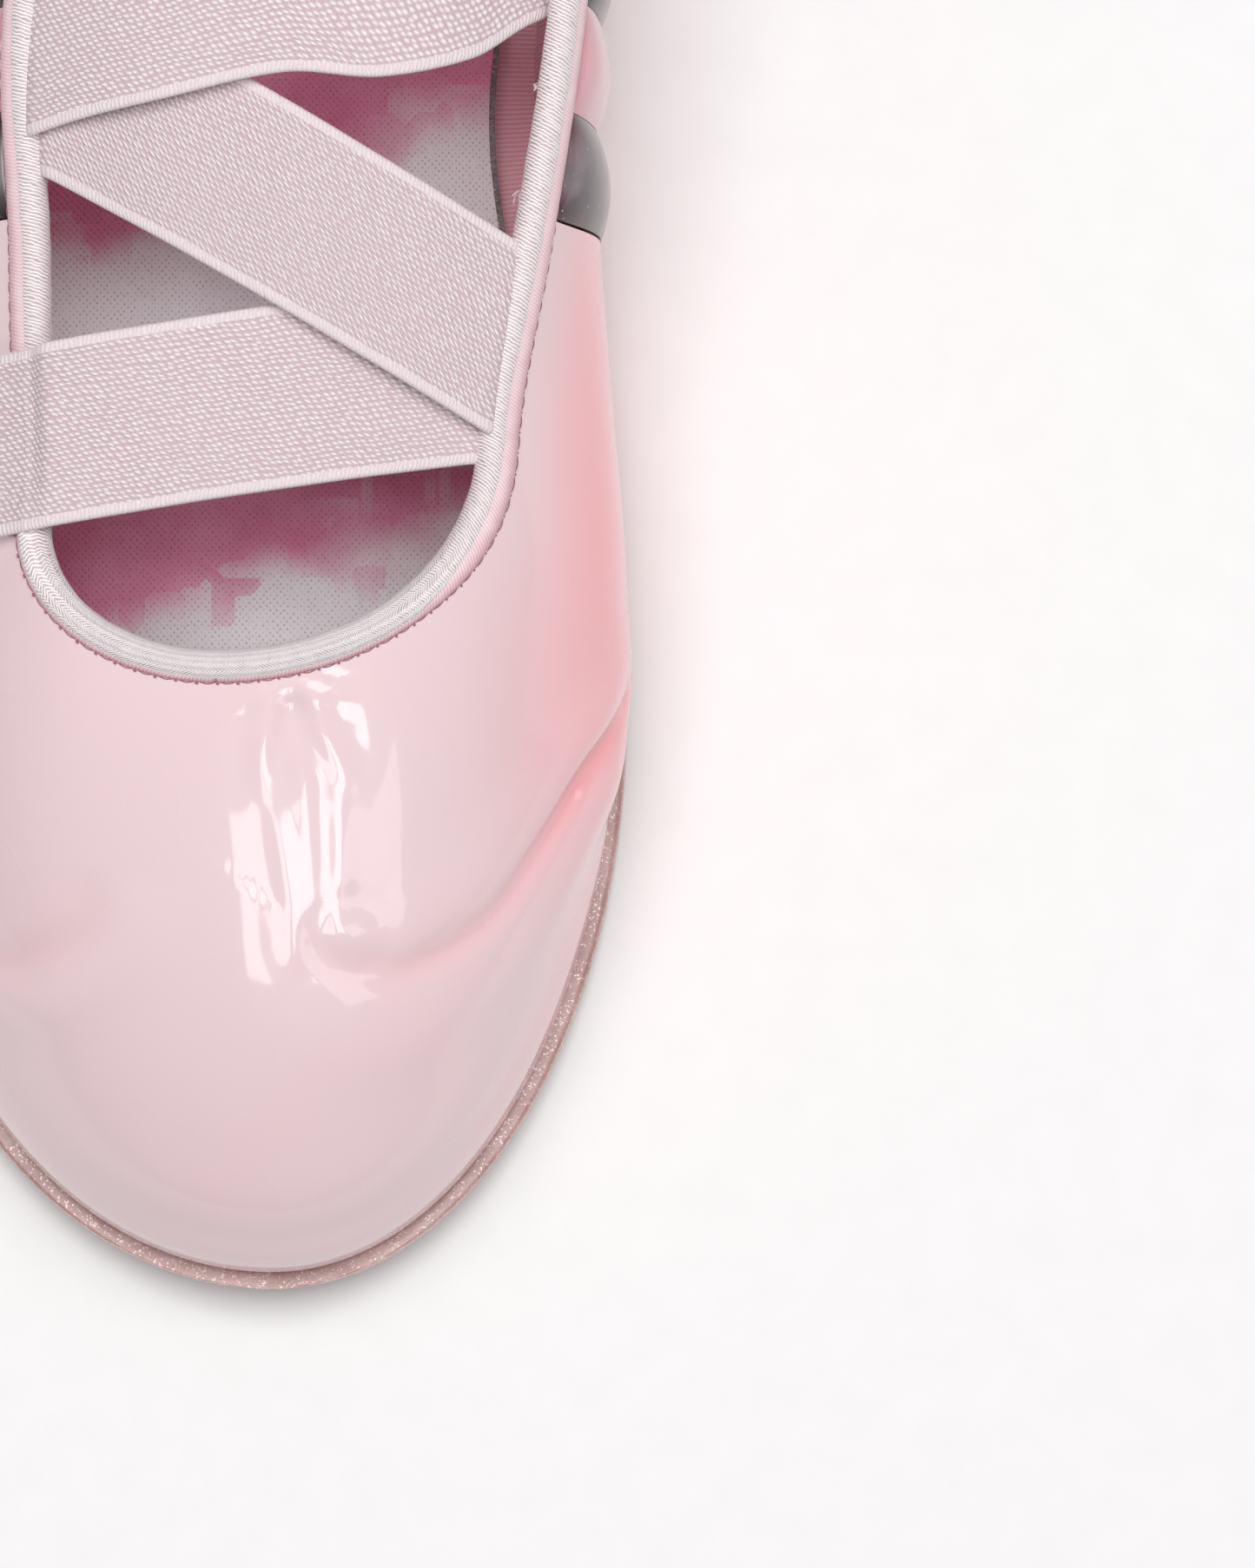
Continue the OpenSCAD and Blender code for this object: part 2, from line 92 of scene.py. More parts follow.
CENTRE_X = (BALL_INNER - BALL_OUTER) / 2
CENTRE_Y = HALF_LENGTH + 0.64


# ---- curves ----


def keyed(x, keys):
    """Smooth curve through (position, value) keys, level at both ends."""
    x = np.asarray(x, float)
    places, values = np.array(keys, float).T
    slopes = np.zeros(len(keys))
    slopes[1:-1] = (values[2:] - values[:-2]) / (places[2:] - places[:-2])
    i = np.clip(np.searchsorted(places, x, side="right") - 1, 0, len(keys) - 2)
    width = places[i + 1] - places[i]
    t = np.clip((x - places[i]) / width, 0, 1)
    s = 1 - t
    ends = values[i] * s * s * (1 + 2 * t) + values[i + 1] * t * t * (1 + 2 * s)
    return ends + width * t * s * (slopes[i] * s - slopes[i + 1] * t)


def ease(t):
    c = np.clip(t, 0, 1)
    return c * c * (3 - 2 * c)


def mix(a, b, t):
    return a + (b - a) * t


def unit(p):
    return p / np.linalg.norm(p, axis=-1, keepdims=True)


def hump(x, width):
    """Bell curve of height 1."""
    return np.exp(-((x / width) ** 2))


def crowded(count):
    """Marks from -1 to 1, closer together towards both ends."""
    return np.sin(np.linspace(-math.pi / 2, math.pi / 2, count))


def paired(x, y):
    """Arrays broadcast together, as pairs."""
    return np.stack(np.broadcast_arrays(x, y), -1)


def round_end(distance, depth):
    t = 1 - np.clip(distance / depth, 0, 1)
    return np.sqrt(1 - t * t)


# ---- plan of the sole and the mouth, at distance v from the toe tip ----


def sole_middle(v):
    return HEEL_SHIFT * ease((v - 80) / 120)


def sole_half(v, side, inset):
    inner = keyed(v, [(72, BALL_INNER), (110, mix(BALL_INNER, ARCH_INNER, 0.48)),
                      (150, ARCH_INNER), (190, ARCH_INNER + 0.4), (220, HEEL_INNER)])
    inner = (inner - inset) * round_end(v - inset, 72 - inset)
    inner = inner * round_end(SOLE_LENGTH - inset - v, 36 - inset)
    outer = keyed(v, [(66, BALL_OUTER), (90, BALL_OUTER - 0.8), (140, ARCH_OUTER),
                      (180, mix(ARCH_OUTER, HEEL_OUTER, 0.5)), (222, HEEL_OUTER)])
    outer = (outer - inset) * round_end(v - inset, 66 - inset)
    outer = outer * round_end(SOLE_LENGTH - inset - v, 40 - inset)
    return np.where(side > 0, inner, outer)


def sole_edge(v, side, inset):
    return sole_middle(v) + side * sole_half(v, side, inset)


def lift(v):
    return TOE_SPRING * np.clip(1 - v / 60, 0, None) ** 2


def mouth_middle(v):
    return -5 + (HEEL_SHIFT + 5) * ease((v - 95) / 105)


def mouth_half(v, side):
    inner = keyed(v, [(98, MOUTH_INNER - 0.7), (125, MOUTH_INNER + 1),
                      (153, MOUTH_INNER + 0.2), (185, MOUTH_INNER - 3.4),
                      (218, MOUTH_INNER - 6.4)])
    inner = inner * round_end(v - THROAT_SETBACK, 27) * round_end(COLLAR_BACK - v, 31)
    outer = keyed(v, [(92, MOUTH_OUTER - 9.1), (122, MOUTH_OUTER - 5.9), (150, MOUTH_OUTER),
                      (180, MOUTH_OUTER + 1.6), (215, MOUTH_OUTER - 3.4)])
    outer = outer * round_end(v - THROAT_SETBACK, 17) * round_end(COLLAR_BACK - v, 31)
    return np.where(side > 0, inner, outer)


def mouth_height(v):
    return keyed(v, [(THROAT_SETBACK, THROAT_HEIGHT), (92, SIDE_HEIGHT + 1.6),
                     (122, SIDE_HEIGHT), (155, SIDE_HEIGHT + 2),
                     (200, mix(SIDE_HEIGHT, HEEL_HEIGHT, 0.5)), (COLLAR_BACK, HEEL_HEIGHT)])


# ---- wall of the slipper ----


def side_of(a):
    return np.where(np.mod(a, 360) > 180, -1.0, 1.0)


def cosine(a):
    return np.cos(np.radians(a))


def foot_run(a):
    return RIM_WIDTH + (HALF_LENGTH - RIM_WIDTH) * (1 - cosine(a))


def station_of(v):
    return math.degrees(math.acos(1 - (v - RIM_WIDTH) / (HALF_LENGTH - RIM_WIDTH)))


def foot_point(a):
    v = foot_run(a)
    return np.stack([sole_edge(v, side_of(a), RIM_WIDTH), v], -1)


def mouth_point(a):
    v = HALF_LENGTH * (1 - cosine(a))
    v = (v + THROAT_SETBACK * np.clip(1 - v / 115, 0, None) ** 1.3
         - (SOLE_LENGTH - COLLAR_BACK) * np.clip((v - 200) / (SOLE_LENGTH - 200), 0, None) ** 2)
    return np.stack([mouth_middle(v) + side_of(a) * mouth_half(v, side_of(a)), v], -1)


def outward(p, q):
    d = unit(q - p)
    return np.stack([d[..., 1], -d[..., 0]], -1)


def wall(a):
    """Control points of the wall at a station, from the sole to the binding."""
    a = np.asarray(a, float)
    foot, mouth = foot_point(a), mouth_point(a)
    foot_out = outward(foot_point(a - 1), foot_point(a + 1))
    mouth_out = outward(mouth_point(a - 1), mouth_point(a + 1))
    flat = ease((np.linalg.norm(foot - mouth, axis=-1) - 15) / 45)
    low = lift(foot[..., 1]) + OUTSOLE_THICKNESS + 0.1
    high = mouth_height(mouth[..., 1]) + mix(-2.1, 1.1, flat)
    swell = keyed(foot[..., 1], [(30, 0.5), (60, 4), (80, 8), (105, 11.5), (150, 8.5),
                                 (200, 6), (SOLE_LENGTH, 1.5)])
    wide = flat[..., None]
    top = mouth + mouth_out * mix(1.7, 2.4, wide)
    shoulder = top + (foot - mouth) * mix(0.35, 0.5, wide) + mouth_out * mix(3.5, 0, wide)
    plan = np.stack([foot, foot + foot_out * swell[..., None], shoulder, top], -2)
    levels = np.stack([low, mix(low, high, 0.42), high - 8, high], -1)
    return np.concatenate([plan, levels[..., None]], -1)


def along(curve, t):
    t = np.asarray(t, float)[..., None]
    s = 1 - t
    return (curve[..., 0, :] * s ** 3 + curve[..., 1, :] * 3 * s * s * t
            + curve[..., 2, :] * 3 * s * t * t + curve[..., 3, :] * t ** 3)


def rise(curve, t):
    t = np.asarray(t, float)[..., None]
    s = 1 - t
    return ((curve[..., 1, :] - curve[..., 0, :]) * s * s
            + (curve[..., 2, :] - curve[..., 1, :]) * 2 * s * t
            + (curve[..., 3, :] - curve[..., 2, :]) * t * t)


def wall_normal(a, t):
    across = along(wall(a + 1), t) - along(wall(a - 1), t)
    return unit(np.cross(across, rise(wall(a), t)))


def wall_point(a, t, depth=0.0):
    """Points sunk by depth under the outer surface; a and t are broadcast together."""
    a = np.asarray(a, float)
    return along(wall(a), t) - wall_normal(a, t) * np.asarray(depth, float)[..., None]


def binding_frame(a):
    """Middle of the binding, with its outward and upward directions."""
    here = wall(a)
    up = unit(here[..., 3, :] - here[..., 2, :])
    out = unit(np.cross(along(wall(a + 1), 1) - along(wall(a - 1), 1), up))
    return here[..., 3, :] + up * (BINDING_RADIUS + 0.05) - out * WALL_DEPTH / 2, out, up


SEAM = station_of(BUBBLE_START)
SEAM_GAP = 0.12
LINING_GAP = 0.01


def running_length(points):
    steps = np.linalg.norm(np.diff(points, axis=0), axis=-1)
    return np.concatenate([[0], np.cumsum(steps)])


# ---- meshes ----


def place(points):
    return (np.asarray(points, float) - (CENTRE_X, CENTRE_Y, 0)) * MM


def grid_quads(n, m, ring=False, tube=False):
    """Quads of an n by m grid and their (row, column) corners, which don't wrap."""
    i, j = np.meshgrid(np.arange(n if ring else n - 1), np.arange(m if tube else m - 1),
                       indexing="ij")
    rows = np.stack([i, i + 1, i + 1, i], -1).reshape(-1, 4)
    columns = np.stack([j, j, j + 1, j + 1], -1).reshape(-1, 4)
    return (rows % n) * m + columns % m, rows, columns


def shell_quads(n, m, ring=False):
    """Quads of a closed shell between an outer and an inner grid."""
    outer = grid_quads(n, m, ring)[0]
    far = n * m
    i = np.arange(n if ring else n - 1)
    k = (i + 1) % n * m
    i = i * m
    j = np.arange(m - 1)
    last = (n - 1) * m
    parts = [outer, outer[:, ::-1] + far,
             np.stack([k, i, far + i, far + k], -1),
             np.stack([i, k, far + k, far + i], -1) + (m - 1)]
    if not ring:
        parts.append(np.stack([j, j + 1, far + j + 1, far + j], -1))
        parts.append(np.stack([j + 1, j, far + j, far + j + 1], -1) + last)
    return np.concatenate(parts)


def make_mesh(name, points, faces, uv=None, tone=None, sharp=50):
    """A smooth object from points in millimetres. uv has one pair a point or a corner."""
    mesh = bpy.data.meshes.new(name)
    mesh.from_pydata(place(points).tolist(), [], [list(map(int, f)) for f in faces])
    mesh.polygons.foreach_set("use_smooth", np.ones(len(mesh.polygons), bool))
    mesh.set_sharp_from_angle(angle=math.radians(sharp))
    if uv is not None:
        corners = np.zeros(len(mesh.loops), np.int32)
        mesh.loops.foreach_get("vertex_index", corners)
        uv = np.asarray(uv, float).reshape(-1, 2)
        if len(uv) == len(mesh.vertices):
            uv = uv[corners]
        mesh.uv_layers.new(name="millimetres").data.foreach_set("uv", uv.ravel())
    if tone is not None:
        attribute = mesh.attributes.new("tone", "FLOAT", "POINT")
        attribute.data.foreach_set("value", np.asarray(tone, float).ravel())
    piece = bpy.data.objects.new(name, mesh)
    bpy.context.scene.collection.objects.link(piece)
    return piece


def make_shell(name, outer, inner, ring=False, uv=None, tone=None, sharp=50):
    n, m = outer.shape[:2]
    points = np.concatenate([outer.reshape(-1, 3), inner.reshape(-1, 3)])
    if uv is not None:
        uv = np.concatenate([uv.reshape(-1, 2)] * 2)
    if tone is not None:
        tone = np.concatenate([tone.ravel()] * 2)
    return make_mesh(name, points, shell_quads(n, m, ring), uv, tone, sharp)


def tube_parts(rings, ring=False, start=0):
    """Faces and corner UVs of a tube through rings of points, with end caps."""
    n, m = rings.shape[:2]
    faces, rows, columns = grid_quads(n, m, ring, True)
    middle = rings.mean(1)
    far = np.append(running_length(middle),
                    running_length(middle)[-1] + np.linalg.norm(middle[0] - middle[-1]))
    round_it = np.append(running_length(rings[0]),
                         running_length(rings[0])[-1]
                         + np.linalg.norm(rings[0][0] - rings[0][-1]))
    uv = np.stack([far[rows], round_it[columns]], -1).reshape(-1, 2)
    faces = (faces + start).tolist()
    if not ring:
        faces.append([start + j for j in range(m)][::-1])
        faces.append([start + (n - 1) * m + j for j in range(m)])
        uv = np.concatenate([uv, np.zeros((2 * m, 2))])
    return faces, uv


def make_tubes(name, tubes):
    """One object from several tubes, each an array of rings of points."""
    points, faces, uvs = [], [], []
    count = 0
    for rings in tubes:
        some, uv = tube_parts(rings, start=count)
        faces += some
        uvs.append(uv)
        points.append(rings.reshape(-1, 3))
        count += rings.shape[0] * rings.shape[1]
    return make_mesh(name, np.concatenate(points), faces, np.concatenate(uvs), sharp=70)


def thread_rings(path, radius, sides=6):
    """Rings of a round thread along a path, thinner at both ends."""
    path = np.asarray(path, float)
    forward = unit(np.gradient(path, axis=0))
    helper = np.where(np.abs(forward[:, 2:]) > 0.9, [[1.0, 0, 0]], [[0, 0, 1.0]])
    right = unit(np.cross(forward, helper))
    up = np.cross(right, forward)
    turn = np.arange(sides) * 2 * math.pi / sides
    share = np.linspace(-1, 1, len(path))
    size = radius * np.sqrt(np.clip(1 - np.abs(share) ** 6, 0.02, 1))
    offsets = (right[:, None] * np.cos(turn)[None, :, None]
               + up[:, None] * np.sin(turn)[None, :, None])
    return path[:, None] + offsets * size[:, None, None]


def settle(piece, material, body, slot, *nodes):
    """Gives a finished piece its material, its body and the CAD nodes it stands for."""
    piece.data.materials.append(material)
    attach(piece, body)
    if nodes:
        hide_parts(*nodes)


# ---- shader helpers ----


def new_material(name):
    material = bpy.data.materials.new(name)
    material.use_nodes = True
    return material, material.node_tree, material.node_tree.nodes["Principled BSDF"]


def add(tree, kind, **settings):
    made = tree.nodes.new("ShaderNode" + kind)
    for key, value in settings.items():
        setattr(made, key, value)
    return made


def feed(tree, made, socket, value):
    if isinstance(value, bpy.types.NodeSocket):
        tree.links.new(value, made.inputs[socket])
    else:
        made.inputs[socket].default_value = value


def maths(tree, operation, a, b=0.0, c=0.0):
    made = add(tree, "Math", operation=operation)
    for socket, value in enumerate((a, b, c)):
        feed(tree, made, socket, value)
    return made.outputs[0]


def times(tree, a, b):
    return maths(tree, "MULTIPLY", a, b)


def total(tree, a, b):
    return maths(tree, "ADD", a, b)


def scale(tree, value, factor, offset):
    """value * factor + offset"""
    return maths(tree, "MULTIPLY_ADD", value, factor, offset)


def fixed(shader, values):
    """Sets the shader's own sockets that are the same all over the surface."""
    for socket, value in values.items():
        shader.inputs[socket].default_value = value


def stretched(tree, vector, factors):
    made = add(tree, "VectorMath", operation="MULTIPLY")
    feed(tree, made, 0, vector)
    feed(tree, made, 1, factors)
    return made.outputs[0]


def object_place(tree):
    """Place on the object, in millimetres."""
    return stretched(tree, add(tree, "TexCoord").outputs["Object"], (1 / MM,) * 3)


def surface_place(tree):
    """Place along and across the surface, in millimetres."""
    return add(tree, "UVMap", uv_map="millimetres").outputs["UV"]


def separate(tree, vector):
    made = add(tree, "SeparateXYZ")
    feed(tree, made, 0, vector)
    return made.outputs[0], made.outputs[1], made.outputs[2]


def combine(tree, x, y):
    made = add(tree, "CombineXYZ")
    for socket, value in enumerate((x, y)):
        feed(tree, made, socket, value)
    return made.outputs[0]


def noise(tree, vector, size, detail=2.0, roughness=0.5):
    """Noise with features about size millimetres across."""
    made = add(tree, "TexNoise")
    feed(tree, made, "Vector", vector)
    feed(tree, made, "Scale", 1 / size)
    feed(tree, made, "Detail", detail)
    feed(tree, made, "Roughness", roughness)
    return made.outputs[0]


def cells(tree, vector, size, output, randomness=1.0, distance="EUCLIDEAN"):
    made = add(tree, "TexVoronoi", distance=distance)
    feed(tree, made, "Vector", vector)
    feed(tree, made, "Scale", 1 / size)
    feed(tree, made, "Randomness", randomness)
    return made.outputs[output]


def ramp(tree, factor, stops):
    made = add(tree, "ValToRGB")
    elements = made.color_ramp.elements
    while len(elements) < len(stops):
        elements.new(0.5)
    for element, (position, colour) in zip(elements, stops):
        element.position = position
        element.color = (*colour, 1) if len(colour) == 3 else colour
    feed(tree, made, "Fac", factor)
    return made.outputs["Color"]


def fade(tree, value, low, high):
    """0 below low, 1 above high, smooth between; low may be above high."""
    made = add(tree, "MapRange", interpolation_type="SMOOTHSTEP")
    feed(tree, made, "Value", value)
    feed(tree, made, "From Min", low)
    feed(tree, made, "From Max", high)
    return made.outputs[0]


def remap(tree, value, low, high):
    """A 0 to 1 value spread from low to high."""
    return scale(tree, value, high - low, low)


def blend_colours(tree, factor, a, b):
    made = add(tree, "Mix", data_type="RGBA")
    feed(tree, made, "Factor", factor)
    for socket, colour in ((6, a), (7, b)):
        feed(tree, made, socket, (*colour, 1) if isinstance(colour, tuple) else colour)
    return made.outputs[2]


def wave(tree, coordinate, pitch):
    """Sine wave from 0 to 1 along a coordinate in millimetres."""
    angle = times(tree, coordinate, 2 * math.pi / pitch)
    return remap(tree, maths(tree, "SINE", angle), 0.5, 1.0)


def bump(tree, shader, height, depth, before=None):
    """Bump of a 0 to 1 height that stands depth millimetres high."""
    made = add(tree, "Bump")
    feed(tree, made, "Height", height)
    feed(tree, made, "Distance", depth * MM)
    if before is not None:
        feed(tree, made, "Normal", before)
    if shader is not None:
        feed(tree, shader, "Normal", made.outputs[0])
    return made.outputs[0]


# ---- materials ----


def patent_skin(name, pale, deep):
    """Moulded glossy skin with a few dark flecks, deeper in colour where its tone is high; the
    pieces paint shade and bounce light into that tone.
    """
    material, tree, shader = new_material(name)
    place_mm = object_place(tree)
    tone = add(tree, "Attribute", attribute_name="tone").outputs["Fac"]
    cloud = noise(tree, place_mm, 18, 3)
    share = total(tree, tone, remap(tree, cloud, -0.08, 0.08))
    colour = blend_colours(tree, share, pale, deep)
    speck = cells(tree, place_mm, 9, "Distance")
    fleck = times(tree, fade(tree, speck, 0.03, 0.015),
                  fade(tree, noise(tree, place_mm, 14), 0.58, 0.62))
    colour = blend_colours(tree, times(tree, fleck, 0.55), colour,
                           (0.28, 0.16, 0.17))
    feed(tree, shader, "Base Color", colour)
    feed(tree, shader, "Roughness", remap(tree, noise(tree, place_mm, 14, 1), 0.24, 0.32))
    fixed(shader, {"Coat Weight": 1.0, "Coat Roughness": 0.06, "Coat IOR": 1.45,
                   "Specular IOR Level": 0.25})
    bump(tree, shader, noise(tree, place_mm, 8, 0), 0.012)
    return material


def smoke_pod():
    """Smoky translucent bubble with pale specks in it; painted light makes it lighter in its middle
    and towards its top, and painted shade darkens its sides and lower end.
    """
    material, tree, shader = new_material("smoke_pod")
    place_mm = object_place(tree)
    across, up, _ = separate(tree, surface_place(tree))
    # Painted light: lighter across the middle and towards the top, darker at the sides and the lower
    # end as painted shade; the noise varies it at random.
    painted_middle_light = times(tree, maths(tree, "SUBTRACT", 1.0,
                      maths(tree, "POWER", maths(tree, "ABSOLUTE", across), 2.2)),
                      fade(tree, up, -1.0, -0.75))
    smoke_and_painted_light = total(tree, times(tree, painted_middle_light, 0.75),
                 remap(tree, noise(tree, place_mm, 4, 3), -0.1, 0.35))
    smoke_and_painted_light = times(tree, smoke_and_painted_light, remap(tree, fade(tree, up, 0.0, 0.95), 0.3, 1.15))
    colour = ramp(tree, smoke_and_painted_light, [(0.0, (0.012, 0.005, 0.007)), (0.35, (0.030, 0.018, 0.021)),
                               (0.7, (0.085, 0.068, 0.073)), (1.0, (0.21, 0.18, 0.19))])
    tint = fade(tree, noise(tree, place_mm, 7, 2), 0.5, 0.72)
    colour = blend_colours(tree, times(tree, tint, 0.35), colour,
                           (0.24, 0.05, 0.10))
    speck = fade(tree, cells(tree, place_mm, 1.5, "Distance"), 0.1, 0.05)
    colour = blend_colours(tree, times(tree, speck, 0.6), colour,
                           (0.85, 0.82, 0.83))
    feed(tree, shader, "Base Color", colour)
    feed(tree, shader, "Roughness", remap(tree, noise(tree, place_mm, 2.5, 2), 0.12, 0.26))
    fixed(shader, {"Coat Weight": 0.45, "Specular IOR Level": 0.3, "Coat Roughness": 0.04,
                   "Subsurface Weight": 0.12, "Subsurface Radius": (1.0, 0.8, 0.85),
                   "Subsurface Scale": 1.2 * MM})
    bump(tree, shader, noise(tree, place_mm, 1.6, 2), 0.006)
    return material


def glitter_sole():
    """Clear pink-brown sole rubber, full of small glitter flakes and fine streaks."""
    material, tree, shader = new_material("glitter_sole")
    place_mm = object_place(tree)
    streaks = noise(tree, stretched(tree, place_mm, (0.25, 0.25, 5.0)), 1.2, 3, 0.6)
    cloud = noise(tree, place_mm, 9, 3)
    base = ramp(tree, total(tree, times(tree, streaks, 0.6),
                            times(tree, cloud, 0.4)),
                [(0.3, (0.42, 0.23, 0.21)), (0.5, (0.52, 0.325, 0.30)), (0.7, (0.63, 0.43, 0.40))])
    flake = cells(tree, place_mm, 0.2, "Color")
    pick = separate(tree, flake)[0]
    lit = fade(tree, pick, 0.86, 0.92)
    dark = fade(tree, pick, 0.13, 0.08)
    colour = blend_colours(tree, times(tree, lit, 0.5), base, (0.88, 0.76, 0.74))
    colour = blend_colours(tree, times(tree, dark, 0.3), colour, (0.30, 0.15, 0.15))
    feed(tree, shader, "Base Color", colour)
    feed(tree, shader, "Metallic", times(tree, lit, 0.1))
    feed(tree, shader, "Roughness", scale(tree, lit, -0.12, 0.36))
    fixed(shader, {"Transmission Weight": 0.18, "Subsurface Weight": 0.3,
                   "Subsurface Radius": (1.0, 0.5, 0.45), "Subsurface Scale": 1.5 * MM,
                   "Coat Weight": 0.35, "Coat Roughness": 0.25})
    tilt = bump(tree, None, pick, 0.005)
    bump(tree, shader, streaks, 0.03, tilt)
    return material


def satin_tape():
    """Knitted satin binding: slanted ribs at the sides, rows of small chevrons in front."""
    material, tree, shader = new_material("satin_tape")
    place_mm = object_place(tree)
    along_it, across, _ = separate(tree, surface_place(tree))
    front = add(tree, "Attribute", attribute_name="tone").outputs["Fac"]
    row_pitch = 0.8
    row = maths(tree, "PINGPONG", across, row_pitch)
    zigzag = times(tree, row, times(tree, front, 1.5))
    lean = times(tree, across, scale(tree, front, -0.3, 0.3))
    fray = remap(tree, noise(tree, place_mm, 0.9, 2), -0.22, 0.22)
    shift = total(tree, total(tree, zigzag, lean), fray)
    ribs = wave(tree, total(tree, along_it, shift), TAPE_RIB_PITCH)
    rows = wave(tree, across, row_pitch)
    height = scale(tree, times(tree, rows, front), 0.45,
                   times(tree, ribs, 0.95))
    worn = noise(tree, place_mm, 1.3, 3)
    # Colour follows the rib height, so the grooves between the ribs carry painted shade; the worn
    # noise varies it at random.
    colour = ramp(tree, total(tree, times(tree, height, 0.75),
                              remap(tree, worn, -0.15, 0.2)),
                  [(0.05, (0.64, 0.48, 0.51)), (0.35, (0.91, 0.80, 0.815)),
                   (0.7, (0.99, 0.97, 0.975))])
    feed(tree, shader, "Base Color", colour)
    feed(tree, shader, "Roughness", remap(tree, ribs, 0.45, 0.26))
    fixed(shader, {"Specular IOR Level": 0.9, "Anisotropic": 0.5, "Sheen Weight": 0.5,
                   "Sheen Roughness": 0.35})
    bump(tree, shader, height, 0.13)
    return material


def flank_tape():
    """Outer leg of the binding, with flatter ribs than the roll; its deep pink, darkest towards its
    lower edge, is painted shade at the roll's edge.
    """
    material, tree, shader = new_material("flank_tape")
    place_mm = object_place(tree)
    along_it, across, _ = separate(tree, surface_place(tree))
    ribs = wave(tree, scale(tree, across, 0.3, along_it), TAPE_RIB_PITCH)
    # Painted shade: the leg darkens away from the roll towards its lower edge.
    edge = fade(tree, across, -1.4, 0.6)
    shade = total(tree, times(tree, ribs, 0.25),
                  times(tree, noise(tree, place_mm, 2.2, 3), 0.35))
    colour = ramp(tree, scale(tree, edge, -0.5, total(tree, shade, 0.5)),
                  [(0.15, (0.50, 0.24, 0.28)), (0.5, (0.70, 0.44, 0.48)),
                   (0.9, (0.84, 0.66, 0.69))])
    feed(tree, shader, "Base Color", colour)
    feed(tree, shader, "Roughness", remap(tree, ribs, 0.38, 0.5))
    fixed(shader, {"Sheen Weight": 0.3})
    bump(tree, shader, ribs, 0.05)
    return material


def sewing_thread(name, dark, light):
    material, tree, shader = new_material(name)
    along_it, across, _ = separate(tree, surface_place(tree))
    twist = wave(tree, total(tree, along_it, across), 0.3)
    feed(tree, shader, "Base Color", ramp(tree, twist, [(0.1, dark), (0.9, light)]))
    feed(tree, shader, "Roughness", remap(tree, twist, 0.7, 0.5))
    fixed(shader, {"Sheen Weight": 0.3})
    bump(tree, shader, twist, 0.05)
    return material


def woven_elastic():
    """Coarse elastic weave with a ribbed selvage at both edges."""
    material, tree, shader = new_material("woven_elastic")
    place_mm = object_place(tree)
    surface = surface_place(tree)
    along_it, across, _ = separate(tree, surface)
    drift = remap(tree, noise(tree, place_mm, 5, 2), -0.5, 0.5)
    slanted = combine(tree, scale(tree, across, 0.70, along_it),
                      times(tree, total(tree, across, drift), 1.3))
    knots = cells(tree, slanted, 0.86, "Distance", 0.26)
    weave = fade(tree, knots, 0.62, 0.1)
    fibres = noise(tree, stretched(tree, surface, (5.0, 1.6, 1.0)), 0.5, 2)
    edge = fade(tree, maths(tree, "ABSOLUTE", across), STRAP_WIDTH / 2 - 1.45,
                STRAP_WIDTH / 2 - 1.15)
    wobble = remap(tree, noise(tree, place_mm, 1.1, 2), -0.4, 0.4)
    selvage = remap(tree, wave(tree, total(tree, along_it, wobble), 0.53), 0.4, 0.72)
    height = add(tree, "Mix", data_type="FLOAT")
    feed(tree, height, "Factor", edge)
    feed(tree, height, 2, weave)
    feed(tree, height, 3, selvage)
    height = total(tree, times(tree, height.outputs[0], 0.8),
                   times(tree, fibres, 0.3))
    # Colour follows the weave height: the gaps between the knots are darker, partly the elastic's
    # own colour and partly painted shade.
    colour = ramp(tree, height, [(0.12, (0.54, 0.375, 0.405)), (0.40, (0.70, 0.585, 0.61)),
                                 (0.85, (0.87, 0.80, 0.815))])
    stain = noise(tree, place_mm, 22, 2)
    colour = blend_colours(tree, remap(tree, stain, 0.0, 0.35), colour, (0.70, 0.58, 0.605))
    feed(tree, shader, "Base Color", colour)
    feed(tree, shader, "Roughness", remap(tree, weave, 0.8, 0.58))
    fixed(shader, {"Sheen Weight": 0.35, "Sheen Roughness": 0.4})
    bump(tree, shader, height, 0.24)
    return material


def ribbed_lining():
    """Rose satin lining whose fine ribs run up the wall."""
    material, tree, shader = new_material("ribbed_lining")
    place_mm = object_place(tree)
    along_it, up, _ = separate(tree, surface_place(tree))
    wander = remap(tree, noise(tree, place_mm, 9, 2), -0.5, 0.5)
    ribs = wave(tree, scale(tree, wander, 0.5, along_it), 0.58)
    threads = wave(tree, up, 0.35)
    height = scale(tree, threads, 0.2, ribs)
    shade = scale(tree, height, 0.45,
                  times(tree, noise(tree, place_mm, 12, 3), 0.55))
    colour = ramp(tree, shade, [(0.1, (0.80, 0.33, 0.40)), (0.5, (0.97, 0.52, 0.58)),
                                (0.9, (0.99, 0.72, 0.77))])
    feed(tree, shader, "Base Color", colour)
    feed(tree, shader, "Roughness", remap(tree, ribs, 0.62, 0.46))
    fixed(shader, {"Sheen Weight": 0.3})
    bump(tree, shader, height, 0.09)
    return material


